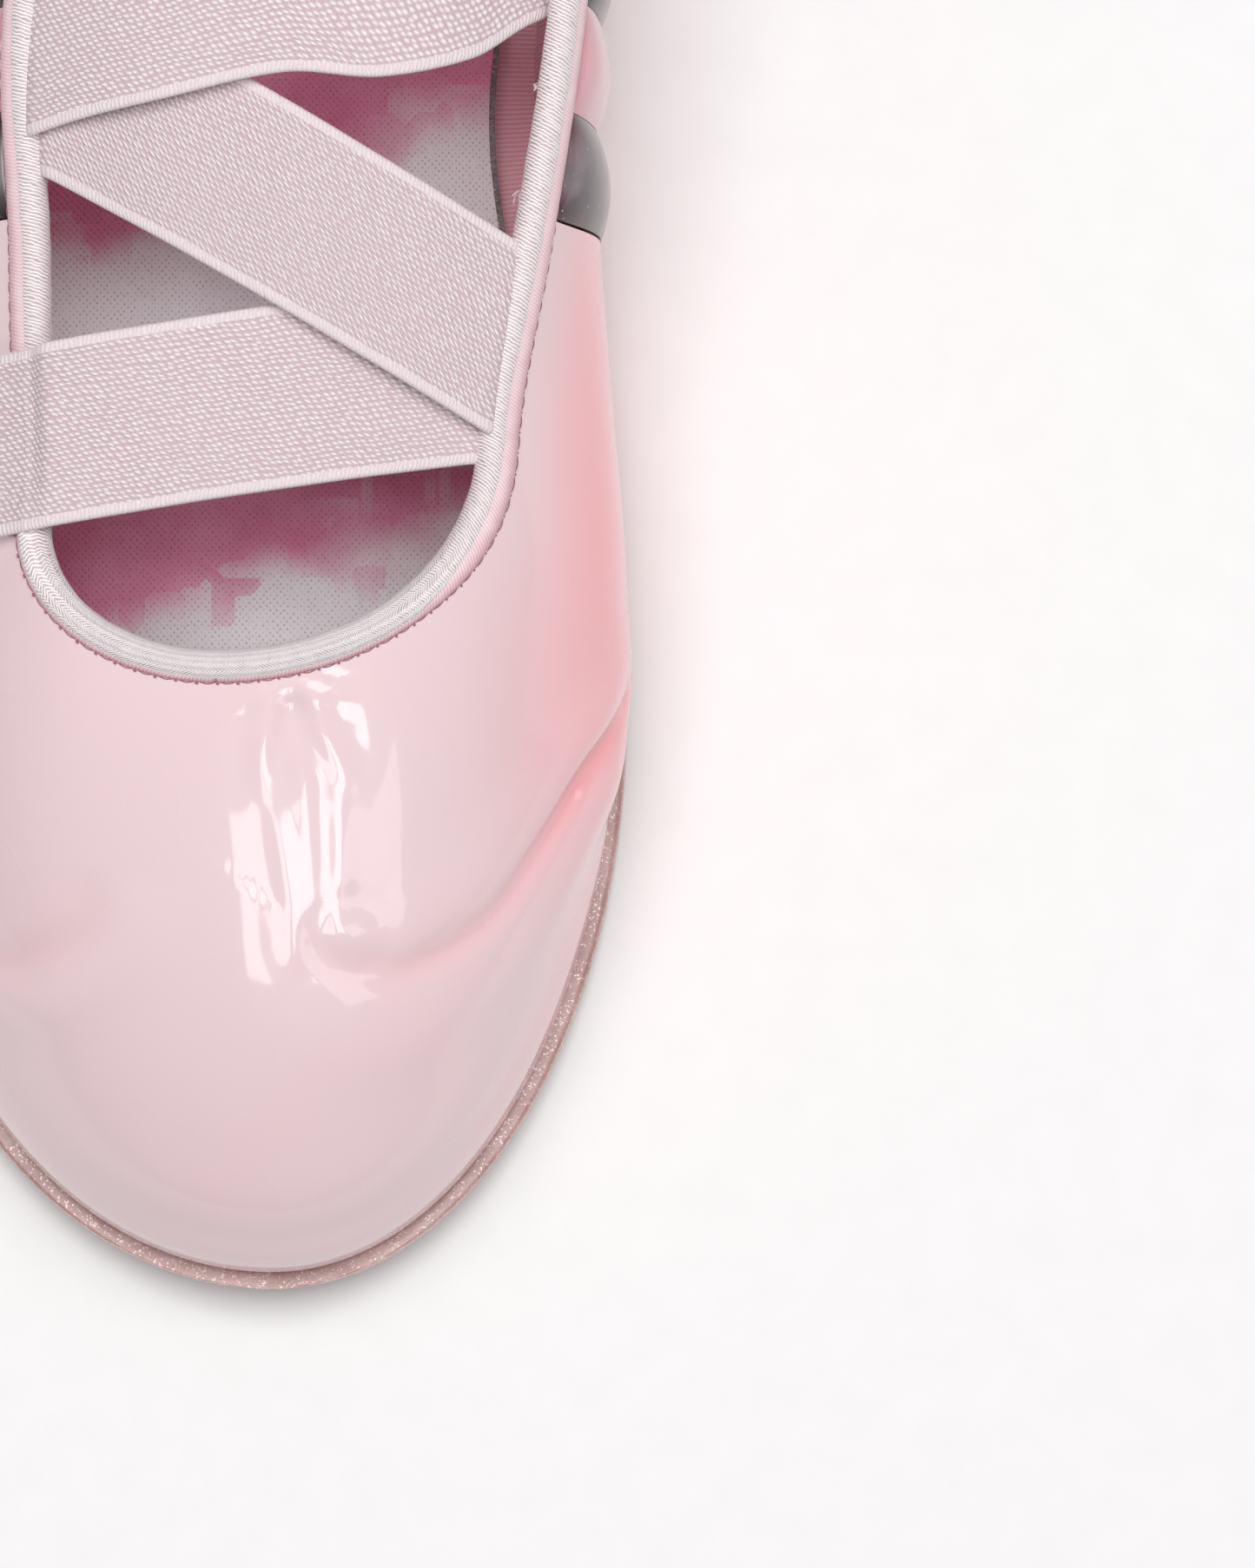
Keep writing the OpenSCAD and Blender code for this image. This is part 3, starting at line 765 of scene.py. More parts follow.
def printed_knit():
    """Knit cover with a soft, generic print of wine and grey-white bands."""
    material, tree, shader = new_material("printed_knit")
    place_mm = object_place(tree)
    flat = stretched(tree, place_mm, (1.0, 1.0, 0.0))
    wide, run, _ = separate(tree, place_mm)
    steps = separate(tree, cells(tree, flat, 6.5, "Color", 0.7, "CHEBYCHEV"))[0]
    drift = noise(tree, flat, 16, 2)
    shifted = scale(tree, wide, -0.35, run)
    shifted = total(tree, shifted, remap(tree, steps, -1.8, 1.8))
    shifted = total(tree, shifted, remap(tree, drift, -9, 9))
    bands = wave(tree, total(tree, shifted, 64.5), 50)
    print_mask = fade(tree, bands, 0.34, 0.9)
    outline = cells(tree, flat, 15, "Distance", 1.0, "CHEBYCHEV")
    outline = maths(tree, "ABSOLUTE", maths(tree, "SUBTRACT", outline, 0.26))
    motif = times(tree, fade(tree, outline, 0.055, 0.035),
                  fade(tree, noise(tree, flat, 24, 1), 0.46, 0.56))
    print_mask = maths(tree, "MAXIMUM", print_mask, times(tree, motif, 0.32))
    wine = blend_colours(tree, noise(tree, place_mm, 8, 2), (0.74, 0.20, 0.37),
                         (0.96, 0.45, 0.64))
    grey = blend_colours(tree, noise(tree, place_mm, 10, 2), (0.82, 0.84, 0.86),
                         (0.97, 0.97, 0.98))
    colour = blend_colours(tree, print_mask, wine, grey)
    turned = add(tree, "VectorRotate", rotation_type="Z_AXIS")
    feed(tree, turned, "Vector", stretched(tree, flat, (1.0, 0.92, 0.0)))
    feed(tree, turned, "Angle", math.radians(45))
    dots = cells(tree, turned.outputs[0], 0.6, "Distance", 0.2)
    hole = fade(tree, dots, 0.3, 0.1)
    colour = blend_colours(tree, times(tree, hole, 0.45), colour,
                           (0.18, 0.08, 0.12))
    feed(tree, shader, "Base Color", colour)
    feed(tree, shader, "Roughness", remap(tree, hole, 0.78, 0.9))
    fixed(shader, {"Sheen Weight": 0.25})
    bump(tree, shader, dots, 0.16)
    return material


def felt(name, dark, light):
    material, tree, shader = new_material(name)
    place_mm = object_place(tree)
    fibres = noise(tree, place_mm, 0.45, 4, 0.7)
    shade = scale(tree, fibres, 0.7,
                  times(tree, noise(tree, place_mm, 4, 2), 0.3))
    feed(tree, shader, "Base Color", ramp(tree, shade, [(0.25, dark), (0.75, light)]))
    feed(tree, shader, "Roughness", remap(tree, fibres, 0.86, 0.98))
    fixed(shader, {"Sheen Weight": 0.4})
    bump(tree, shader, fibres, 0.18)
    return material


def closed_foam():
    """Pale foam of the fillings, with small cells."""
    material, tree, shader = new_material("closed_foam")
    place_mm = object_place(tree)
    pores = cells(tree, place_mm, 0.5, "Distance")
    shade = scale(tree, pores, 0.6,
                  times(tree, noise(tree, place_mm, 6, 2), 0.4))
    feed(tree, shader, "Base Color", ramp(tree, shade, [(0.1, (0.55, 0.52, 0.46)),
                                                        (0.7, (0.84, 0.81, 0.75))]))
    feed(tree, shader, "Roughness", remap(tree, pores, 0.95, 0.75))
    bump(tree, shader, pores, 0.12)
    return material


def fibre_board(name, dark, light):
    """Pressed fibre board, dyed or plain."""
    material, tree, shader = new_material(name)
    place_mm = object_place(tree)
    fibres = noise(tree, stretched(tree, place_mm, (1.0, 0.3, 1.0)), 0.7, 4, 0.7)
    spots = fade(tree, cells(tree, place_mm, 2.4, "Distance"), 0.22, 0.1)
    colour = ramp(tree, fibres, [(0.25, dark), (0.75, light)])
    colour = blend_colours(tree, times(tree, spots, 0.5), colour, dark)
    feed(tree, shader, "Base Color", colour)
    feed(tree, shader, "Roughness", remap(tree, fibres, 0.9, 0.7))
    bump(tree, shader, fibres, 0.08)
    return material


def spring_steel():
    """Cold rolled shank with drawn lines and a little oxide."""
    material, tree, shader = new_material("spring_steel")
    place_mm = object_place(tree)
    lines = noise(tree, stretched(tree, place_mm, (4.0, 0.05, 4.0)), 1, 3, 0.6)
    oxide = fade(tree, noise(tree, place_mm, 7, 4, 0.65), 0.55, 0.7)
    colour = ramp(tree, lines, [(0.3, (0.42, 0.43, 0.45)), (0.7, (0.62, 0.63, 0.65))])
    colour = blend_colours(tree, times(tree, oxide, 0.5), colour,
                           (0.24, 0.16, 0.11))
    feed(tree, shader, "Base Color", colour)
    feed(tree, shader, "Metallic", remap(tree, oxide, 1.0, 0.6))
    feed(tree, shader, "Roughness", scale(tree, oxide, 0.3, 0.28))
    bump(tree, shader, lines, 0.02)
    return material


def studio_floor():
    material, tree, shader = new_material("studio_floor")
    place_mm = object_place(tree)
    grain = noise(tree, place_mm, 6, 3)
    feed(tree, shader, "Base Color", ramp(tree, grain, [(0.3, (0.83, 0.825, 0.825)),
                                                        (0.7, (0.85, 0.845, 0.845))]))
    feed(tree, shader, "Roughness", remap(tree, grain, 0.75, 0.85))
    return material


# ---- relief of the moulded front ----


def drawn_line(places):
    """A smooth line on the wall through (station, height) places."""
    places = np.array(places, float)
    marks = np.linspace(0, 1, len(places))
    share = np.linspace(0, 1, LINE_POINTS)
    stations = keyed(share, list(zip(marks, places[:, 0])))
    heights = keyed(share, list(zip(marks, places[:, 1])))
    return wall_point(stations, heights)


def from_line(points, normals, route):
    """Distance to a line on the surface, positive on its left, and how far along it."""
    best = np.full(points.shape[:-1], np.inf)
    side = np.zeros_like(best)
    share = np.zeros_like(best)
    for k, (start, step) in enumerate(zip(route[:-1], np.diff(route, axis=0))):
        offset = points - start
        t = np.clip(offset @ step / (step @ step), 0, 1)
        gap = offset - t[..., None] * step
        distance = np.linalg.norm(gap, axis=-1)
        turn = np.einsum("...i,...i", np.cross(step, gap), normals)
        closer = distance < best
        best = np.where(closer, distance, best)
        side = np.where(closer, np.sign(turn), side)
        share = np.where(closer, (k + t) / (len(route) - 1), share)
    return best * side, share


# Lines pressed into the front or standing out of it, as (station, height) places.
INNER_CREASE = [(63, 0.24), (59, 0.35), (54, 0.44), (47, 0.49), (39, 0.52), (31, 0.56),
                (24, 0.59), (18, 0.63), (14, 0.67)]
OUTER_CREASE = [(-44, 0.42), (-35, 0.48), (-29, 0.57), (-24, 0.66), (-23, 0.74)]
TOE_VALLEY = [(-26, 0.2), (0, 0.19), (24, 0.19), (46, 0.22)]
PLEATS = [[(15.5, 0.995), (9, 0.986), (2, 0.965)], [(13, 0.985), (8, 0.935), (7, 0.86)],
          [(17, 0.99), (22, 0.965), (27, 0.935)], [(17.5, 0.985), (20, 0.93), (23, 0.84)]]
FACET_EDGES = [[(9, 0.90), (9.2, 0.785), (9.2, 0.65)], [(21, 0.88), (18, 0.76), (14, 0.66)],
               [(14.5, 0.93), (13.5, 0.80), (12, 0.68)]]


def front_relief(points, normals):
    """Outward relief of the moulded front in millimetres, and its deeper tone, which is painted
    shade along the creases.
    """
    gap, share = from_line(points, normals, drawn_line(INNER_CREASE))
    strength = keyed(share, [(0, 0.5), (0.15, 1), (0.4, 0.75), (0.7, 0.45), (1, 0.1)])
    wide = mix(1.0, 1.8, share)
    relief = strength * (-1.3 * hump(gap, 1.5 * wide) + 1.3 * hump(gap - 5.5 * wide, 4.0 * wide)
                         + 0.9 * hump(gap + 4.5, 4.0 * wide))
    # The deeper tone along the inner crease is painted shade in its groove.
    tone = strength * 0.45 * hump(gap, 1.8 * wide)

    gap, share = from_line(points, normals, drawn_line(OUTER_CREASE))
    strength = keyed(share, [(0, 0.7), (0.4, 1), (0.8, 0.5), (1, 0)])
    relief += strength * (-0.7 * hump(gap, 2.8) + 0.7 * hump(gap + 6, 4.5))
    # Painted shade along the outer crease.
    tone += strength * 0.12 * hump(gap, 2.5)

    gap, share = from_line(points, normals, drawn_line(TOE_VALLEY))
    strength = keyed(share, [(0, 0), (0.25, 1), (0.75, 1), (1, 0)])
    relief += strength * (-0.35 * hump(gap, 3.5) + 0.25 * hump(gap - 7, 5))

    for pleat in PLEATS:
        gap, share = from_line(points, normals, drawn_line(pleat))
        strength = keyed(share, [(0, 0.6), (0.4, 1), (1, 0)])
        relief += strength * 0.34 * (hump(gap, 1.3) - 0.5 * hump(np.abs(gap) - 2.8, 1.5))

    for edge in FACET_EDGES:
        gap, share = from_line(points, normals, drawn_line(edge))
        strength = keyed(share, [(0, 0), (0.4, 1), (0.75, 0.8), (1, 0)])
        relief += strength * 0.16 * (hump(gap, 1.5) - 0.4 * hump(np.abs(gap) - 3, 1.8))

    knob = np.linalg.norm(points - wall_point(17.8, 0.675), axis=-1)
    relief += 0.3 * hump(knob, 2.6) - 0.12 * hump(knob - 4.5, 1.8)
    return relief, tone


def vamp_upper(material):
    """Moulded front of the upper, with its creases, pleats and facets."""
    stations = np.linspace(-SEAM + SEAM_GAP, SEAM - SEAM_GAP, 321)
    rows = np.concatenate([np.linspace(0, 0.04, 6), np.linspace(0.05, 1, 106)])
    a, t = stations[:, None], rows[None, :]
    outer = wall_point(a, t)
    normals = wall_normal(a, t)
    relief, tone = front_relief(outer, normals)
    free = ease(t / 0.08) * ease((1 - t) / 0.03)
    relief = relief * free - 0.5 * (1 - ease(t / 0.012))
    outer = outer + normals * relief[..., None]
    inner = wall_point(a, t, SKIN_THICKNESS)
    # Tone is painted light here: the inner side is painted deeper pink for pink bounce light, and
    # the low sides deeper as painted shade towards the sole.
    painted_inner_bounce = ease((a - 34) / 40) * ease((1.03 - t) / 0.55)
    low = 0.5 * (1 - ease(t / 0.35)) * ease((np.abs(a) - 16) / 36)
    tone = np.clip(tone + 0.9 * painted_inner_bounce + low, 0, 1)
    piece = make_shell("vamp_upper", outer, inner, tone=tone)
    settle(piece, material, "shoe", "skin", "vamp_skin")


def quarter_upper(material):
    """Rear skin: a glossy band at the sole, sunk behind the bubbles."""
    stations = np.linspace(SEAM + SEAM_GAP, 360 - SEAM - SEAM_GAP, 361)
    rows = np.concatenate([np.linspace(0, 0.03, 5), np.linspace(0.04, 0.165, 10),
                           np.linspace(0.17, 0.205, 8), np.linspace(0.23, 1, 16)])
    a, t = stations[:, None], rows[None, :]
    swell = 0.35 * hump(t - 0.1, 0.06) - 0.5 * (1 - ease(t / 0.012))
    depth = RECESS_DEPTH * ease((t - 0.172) / 0.028) - swell + 0 * a
    outer = wall_point(a, t, depth)
    inner = wall_point(a, t, SKIN_THICKNESS)
    # Tone is painted light: deeper above the sole band, where the skin sinks behind the pods, as
    # painted shade in the recess, and deeper on the inner side towards the front as painted pink
    # bounce light.
    tone = np.clip(0.25 + 0.5 * ease((t - 0.15) / 0.05) + 0.6 * ease((140 - a) / 50), 0, 1)
    piece = make_shell("quarter_upper", outer, inner, tone=tone)
    settle(piece, material, "shoe", "skin", "quarter_skin")


def bubble_pods(smoke, pink):
    """Row of bulging pods round the rear, smoke and pink by turns."""
    marks = np.linspace(SEAM, 360 - SEAM, 721)
    runs = running_length(wall_point(marks, 0.5))
    pitch = runs[-1] / BUBBLE_COUNT
    reach = (pitch - BUBBLE_GAP) / 2
    across = crowded(33)
    up = 0.5 + 0.5 * crowded(41)
    for i in range(1, BUBBLE_COUNT + 1):
        run = (i - 0.5) * pitch + across[:, None] * reach + 0 * up[None, :]
        a = np.interp(run, runs, marks)
        t = mix(BUBBLE_LOW + 0.012, BUBBLE_HIGH, up)[None, :]
        ends = np.clip(1 - np.abs(2 * up[None, :] - 1) ** 4, 0, 1) ** 0.6
        pillow = (1 - across[:, None] ** 2) * ends
        height = 0.35 * ends - 0.2 + BUBBLE_BULGE * pillow
        outer = wall_point(a, t, -height)
        inner = wall_point(a, t, RECESS_DEPTH - 0.03)
        uv = paired(across[:, None], 2 * up[None, :] - 1)
        # Tone deepens towards each pod's edges as painted shade where the pods curve in towards
        # their neighbours.
        tone = np.broadcast_to(0.55 * (1 - pillow) ** 2 + 0.15, pillow.shape)
        piece = make_shell(f"pod_{i:02d}", outer, inner, uv=uv, tone=tone, sharp=60)
        material, slot = (smoke, "smoke") if i % 2 else (pink, "skin")
        settle(piece, material, "shoe", slot, f"bubble_{i:02d}")


# ---- bottom ----


def sole_run(count, front, toe_trim=0.0, first=0.4):
    b = np.linspace(first, 180 - first, count)
    reach = HALF_LENGTH - front - toe_trim / 2
    return front + toe_trim + reach * (1 - cosine(b))


def tread_depth(x, v):
    """How deep the tread's grooves are cut, for the ball and the heel pads."""
    middle = sole_middle(v)
    bent = v + 5 * np.cos((x - middle) / 9)
    groove = np.abs(np.mod(bent / 7, 1) - 0.5)
    lines = 1 - ease((groove - 0.12) / 0.07)
    ball = ease((v - 20) / 8) * ease((112 - v) / 6)
    heel = ease((v - 186) / 6) * ease((240 - v) / 8)
    frame_line = hump(np.minimum(np.abs(v - 118), np.abs(v - 180)), 1.2)
    return lines * np.maximum(ball, heel) + 0.8 * frame_line


def outsole_moulded(material):
    """Outsole with a rounded edge, a fine line round its side and a moulded tread."""
    v = sole_run(601, 0)
    side_profile = [(1.0, 0.0), (0.45, 0.12), (0.12, 0.45), (0.0, 0.9), (0.0, 1.45),
                    (0.16, 1.58), (0.16, 1.72), (0.0, 1.85), (0.0, 2.3), (0.12, 2.7),
                    (0.4, 2.92), (0.9, OUTSOLE_THICKNESS)]
    cross = np.linspace(-1, 1, 63)
    right, left = sole_edge(v, 1, 0.0), sole_edge(v, -1, 0.0)
    narrow = np.minimum(1, (right - left) / 8)
    columns = []
    for s in cross:
        x = mix(left + narrow, right - narrow, (s + 1) / 2)
        edge = ease((1 - abs(s)) / 0.12)
        columns.append((x, 0.55 * edge * tread_depth(x, v)))
    for inset, height in side_profile:
        columns.append((right - inset * narrow, np.full_like(v, height)))
    for s in np.linspace(0.9, -0.9, 7):
        x = mix(left, right, (s + 1) / 2)
        columns.append((x, np.full_like(v, OUTSOLE_THICKNESS)))
    for inset, height in reversed(side_profile):
        columns.append((left + inset * narrow, np.full_like(v, height)))
    rings = np.stack([np.stack([x, v, z + lift(v)], -1) for x, z in columns], 1)
    faces, _ = tube_parts(rings[:, ::-1])
    piece = make_mesh("outsole_moulded", rings[:, ::-1].reshape(-1, 3), faces, sharp=45)
    settle(piece, material, "shoe", "outsole", "outsole")


def sock_half(v, side, inset):
    """Edge of the sockliner, trimmed at the toe and notched at the arch."""
    trim = 3 * (1 - ease((v - 42) / 42))
    notch = 2.0 * ease(1 - np.abs(v - 143) / 36) * (side > 0)
    return sole_edge(v, side, SOCK_INSET + inset + trim) - notch


def sockliner_layers(knit, felt_material):
    """Loose sockliner: a felt-backed foam pad under a printed knit cover."""
    v = sole_run(261, SOCK_INSET, 3.0, 2.0)
    cross = crowded(73)
    share = (cross[None, :] + 1) / 2
    from_rim = np.sqrt(np.clip(1 - cross[None, :] ** 2, 0, 1))
    tips = round_end(v - v[0], 6)[:, None] * round_end(v[-1] - v, 6)[:, None]
    seat = -0.45 * hump(v[:, None] - 215, 24) * from_rim - 0.3 * hump(v[:, None] - 75, 28)

    def layer(inset, height):
        x = mix(sock_half(v, -1, inset)[:, None], sock_half(v, 1, inset)[:, None], share)
        return np.stack([x, np.broadcast_to(v[:, None], x.shape),
                         height + lift(v)[:, None] + 0 * x], -1)

    crown = 0.75 * ease(from_rim * tips / 0.6)
    pad = make_shell("sockliner_pad", layer(-0.4, SOCK_SPLIT - 0.3 + 0.3 * crown),
                     layer(-0.1, SOCK_BOTTOM + 0.45 * (1 - from_rim) ** 3), sharp=70)
    settle(pad, felt_material, "sockliner", "foam", "sockliner_foam")

    top = SOCK_SPLIT + 0.35 + crown * 0.9 + seat
    cover = make_shell("sockliner_knit", layer(0.35, top),
                       layer(0.4, SOCK_SPLIT + 0.02 + 0.2 * crown), sharp=70)
    settle(cover, knit, "sockliner", "knit_cover", "sockliner_cover")
    width = (sock_half(v, 1, 0) - sock_half(v, -1, 0)) * MM


def sockliner_fuzz(material):
    """Cut fibres standing out of the cover's edge."""
    hairs = []
    for _ in range(FUZZ_COUNT):
        side = rng.choice((-1, 1))
        v = rng.uniform(22, 240)
        x = sock_half(v, side, 0.4)
        base = np.array([float(x), v, float(lift(v)) + SOCK_SPLIT + rng.uniform(0.0, 0.4)])
        lean = np.array([side * rng.uniform(0.3, 0.9), rng.normal(0, 0.4), rng.uniform(-0.2, 0.5)])
        s = np.linspace(0, 1, 4)[:, None]
        path = base + lean * s + np.array([0, rng.normal(0, 0.2), 0]) * s * s
        hairs.append(thread_rings(path, 0.055, 3))
    piece = make_tubes("sockliner_fuzz", hairs)
    settle(piece, material, "sockliner", "knit_cover")


def wall_lining(name, stations, material, node):
    """Ribbed lining of one half. Its foot turns in over the insole board."""
    foot = 9
    low = 0.075
    rows = np.concatenate([np.full(foot, low), np.linspace(low, 1, 57)[1:]])
    turned = np.concatenate([np.linspace(5.5, 0, foot), np.zeros(56)])
    a, t = np.asarray(stations)[:, None], rows[None, :]
    slack = 0.1 * (np.sin(a * 0.41 + 7 * t) + np.sin(a * 0.23 - 11 * t)) * np.sin(math.pi * t)
    outer = wall_point(a, t, LINING_DEPTH + 0.02 + turned)
    inner = wall_point(a, t, WALL_DEPTH + slack - 0.08 + turned)
    outer[:, :foot, 2] = lift(outer[:, :foot, 1]) + BOARD_TOP + 0.03
    inner[:, :foot, 2] = lift(inner[:, :foot, 1]) + BOARD_TOP + 0.22
    runs = running_length(wall_point(stations, 0.7))
    heights = running_length(inner[len(stations) // 2])
    uv = paired(runs[:, None], heights[None, :])
    piece = make_shell(name, outer, inner, uv=uv)
    settle(piece, material, "shoe", "lining", node)


# ---- binding ----


def mouth_marks(count):
    """Stations evenly spaced along the binding, their running lengths and the whole length."""
    a = np.linspace(0, 360, 2161)
    runs = running_length(binding_frame(a)[0])
    even = np.linspace(0, runs[-1], count, endpoint=False)
    return np.interp(even, runs, a), even, runs[-1]


def binding_roll(material):
    """Ribbed tape rolled over the cord, round the whole mouth."""
    a, even, _ = mouth_marks(1200)
    middle, out, up = binding_frame(a)
    turn = np.radians(np.arange(ROLL_SIDES) * 360 / ROLL_SIDES - 90)
    soft = 1 + 0.012 * np.sin(even * 0.55) + 0.01 * np.sin(even * 1.31 + 1)
    flat = 1 - side_share(a)
    reach = np.cos(turn)[None, :] * (1 + 0.22 * flat[:, None]) + 0.22 * flat[:, None]
    ring = (out[:, None] * reach[..., None]
            + up[:, None] * np.sin(turn)[None, :, None] * 0.97
            - up[:, None] * (0.1 * flat[:, None] * (1 + np.cos(turn)[None, :]))[..., None])
    rings = middle[:, None] + ring * (BINDING_RADIUS * soft)[:, None, None]
    faces, uv = tube_parts(rings[:, ::-1], True)
    front = ease((64 - np.minimum(a, 360 - a)) / 34)
    tone = np.repeat(front, ROLL_SIDES)
    piece = make_mesh("binding_roll", rings[:, ::-1].reshape(-1, 3), faces, uv, tone, 70)
    settle(piece, material, "shoe", "satin_tape", "topline_binding")


def side_share(a):
    """0 round the throat, 1 along the sides and the heel."""
    a = np.mod(a, 360)
    return np.where(a < 180, ease((a - 38) / 24), ease((360 - a - 62) / 24))


def flank_width(a):
    """Width of the tape's outer leg: hardly seen at the throat, wider at the sides."""
    return mix(0.12, 0.7, side_share(a))


def flank_height(a, drop):
    """Wall height a given distance in millimetres below the wall's upper edge."""
    slope = 3 * np.linalg.norm(rise(wall(a), 1.0), axis=-1)
    return 1 - drop / slope


def binding_flank(material):
    """Outer leg of the tape, which lies on the skin below the roll."""
    a, even, _ = mouth_marks(1000)
    share = np.linspace(0, 1, 9)
    proud = np.array([0.1, 0.2, 0.3, 0.38, 0.44, 0.46, 0.42, 0.33, 0.06])
    drops = mix(-1.8, flank_width(a)[:, None], share[None, :])
    t = flank_height(a[:, None], drops)
    outer = wall_point(a[:, None], t, -proud[None, :] + 0 * t)
    inner = wall_point(a[:, None], t, 0.25 + 0 * t)
    uv = paired(even[:, None], drops)
    piece = make_shell("binding_flank", outer, inner, True, uv=uv, sharp=70)
    settle(piece, material, "shoe", "satin_tape")


def binding_stitches(material):
    """Seam at the tape's edge: a small knot at each hole and a fine thread between."""
    _, _, whole = mouth_marks(10)
    count = int(whole / STITCH_PITCH)
    a, _, _ = mouth_marks(count)
    a = np.append(a, 360)
    threads = []
    for k in range(count):
        width = a[k + 1] - a[k]
        s = np.linspace(0, 1, 11)
        drop = flank_width(a[k]) - 0.02 + 0.16 * np.sin(math.pi * s) ** 2
        stations = a[k] + width * (0.06 + 0.88 * s)
        path = wall_point(stations, flank_height(stations, drop), 0.05 - 0.22 * (s * (1 - s)) ** 0.3)
        threads.append(thread_rings(path, 0.07, 5))
        s = np.linspace(-1, 1, 5)
        stations = a[k] + width * 0.075 * s
        drop = flank_width(a[k]) + 0.05 + 0.13 * s + rng.uniform(-0.05, 0.05)
        sunk = 0.25 * side_share(a[k])
        path = wall_point(stations, flank_height(stations, drop), sunk - 0.16)
        threads.append(thread_rings(path, 0.2, 6))
    piece = make_tubes("binding_stitches", threads)
    settle(piece, material, "shoe", "thread", "topline_thread")


# ---- straps ----

# Each strap: distance from the toe at its middle, turn, height at the outer and
# the inner side of the mouth, arch rise, and how far its two ends stand off the
# lining so that one end passes behind the next.
STRAPS = {
    "front": dict(run=104.8, turn=9.1, outer=49.2, inner=44.4, rise=4.0, seats=(0.0, 1.3)),
    "middle": dict(run=129.7, turn=-30.4, outer=45.4, inner=46.8, rise=6.6, seats=(1.3, 0.0)),
    "rear": dict(run=155.4, turn=14.0, outer=47.0, inner=47.2, rise=8.2, seats=(0.0, 0.0)),
}
MOUTH_SIDE = 28.5
FREE_EDGE = 2.55


def hermite(p, q, p_way, q_way, count):
    t = np.linspace(0, 1, count)[:, None, None]
    s = 1 - t
    return (p * s * s * (1 + 2 * t) + q * t * t * (1 + 2 * s)
            + p_way * t * s * s - q_way * t * t * s)


def strap_threads(name, q):
    """Middle surface of a strap: points[along, across] and their running length."""
    strap = STRAPS[name]
    turn = math.radians(strap["turn"])
    way = np.array([math.cos(turn), math.sin(turn)])
    over = np.array([-math.sin(turn), math.cos(turn)])
    middle = np.array([0, strap["run"]])

    def end_of(side, seat):
        """Station and reach of each thread where it meets the mouth."""
        a = np.linspace(30, 150, 721)
        a = a if side > 0 else 360 - a
        edge = mouth_point(a) - outward(mouth_point(a - 1), mouth_point(a + 1)) * (FREE_EDGE + seat)
        lateral = (edge - middle) @ over
        station = np.interp(q * STRAP_WIDTH / 2, lateral, a)
        reach = np.interp(q * STRAP_WIDTH / 2, lateral, (edge - middle) @ way)
        return station, reach

    stations = [end_of(-1, strap["seats"][0]), end_of(1, strap["seats"][1])]
    s = np.linspace(0, 1, SPAN_ROWS)[:, None]
    if name == "front":
        stations[0] = (stations[0][0], stations[0][1] + 0.5)
    reach = mix(stations[0][1][None], stations[1][1][None], s)
    edge_shift = np.zeros_like(reach)
    if name == "rear":
        low = ease((0.35 - q) / 1.35)[None]
        edge_shift = low * keyed(reach, [(-28, 0), (-15, -0.7), (0, -1.2), (11, -4.4),
                                         (22, -4.2), (30, -1.0), (36, 0)])
        wave_up = low * (1.4 * hump(reach - 17, 9) - 0.4 * hump(reach + 2, 7)
                         + 0.6 * hump(reach + 18, 8))
    else:
        wave_up = 0.12 * np.sin(reach * 0.35 + 2 * q[None])
    across = q[None] * STRAP_WIDTH / 2 + edge_shift
    plan = middle + reach[..., None] * way + across[..., None] * over
    x = plan[..., 0]
    arch = (mix(strap["outer"], strap["inner"], (x + MOUTH_SIDE) / (2 * MOUTH_SIDE))
            + strap["rise"] * (1 - (x / MOUTH_SIDE) ** 2))
    span = np.concatenate([plan, (arch + wave_up)[..., None]], -1)

    parts = [span]
    for k, (station, _) in enumerate(stations):
        if name == "front" and k == 0:
            tail = folded_end(middle, over, q * STRAP_WIDTH / 2)
        else:
            depth = WALL_DEPTH + STRAP_THICKNESS / 2 + 0.12 + strap["seats"][k]
            rows = np.linspace(0.93, 0.70, 14)
            tail = wall_point(station[None], rows[:, None], depth + 0 * station[None])
        near, beyond = (span[0], span[1]) if k == 0 else (span[-1], span[-2])
        gap = np.linalg.norm(tail[0] - near, axis=-1)[None, :, None] * 1.3
        leave = unit(near - beyond)[None] * gap
        arrive = unit(tail[1] - tail[0])[None] * gap
        bend = hermite(near[None], tail[0][None], leave, arrive, 12)[1:-1]
        end = np.concatenate([bend, tail])
        parts = [end[::-1]] + parts if k == 0 else parts + [end]
    points = np.concatenate(parts)
    runs = running_length(points[:, len(q) // 2])
    centre = len(parts[0]) + len(span) // 2
    return points, runs - runs[centre], centre, len(parts[0])


def folded_end(middle, over, lateral):
    """Front strap's outer end: over the binding, down the skin and turned under."""
    a = np.linspace(320, 256, 257)
    centre, out, up = binding_frame(a)
    layer = STRAP_THICKNESS + 0.12
    tail = 1.4
    rows = []
    for turn in np.radians(np.linspace(22, 4, 5)):
        rows.append(centre + (BINDING_RADIUS + 0.25 + STRAP_THICKNESS / 2)
                    * (out * math.cos(turn) + up * math.sin(turn)))
    places = [(drop, layer * 1.5 + 0.15) for drop in np.linspace(0.6, tail, 7)]
    for fold in np.radians((60, 20, -20, -60)):
        places.append((tail + layer / 2 * math.cos(fold), layer + 0.15 + layer / 2 * math.sin(fold)))
    places += [(drop, layer / 2 + 0.15) for drop in np.linspace(tail, 0.7, 5)]
    for drop, proud in places:
        rows.append(wall_point(a, flank_height(a, drop), -proud))
    ends = []
    for row in rows:
        side = (row[:, :2] - middle) @ over
        ends.append(np.stack([np.interp(lateral, side, row[:, k]) for k in range(3)], -1))
    return np.stack(ends)


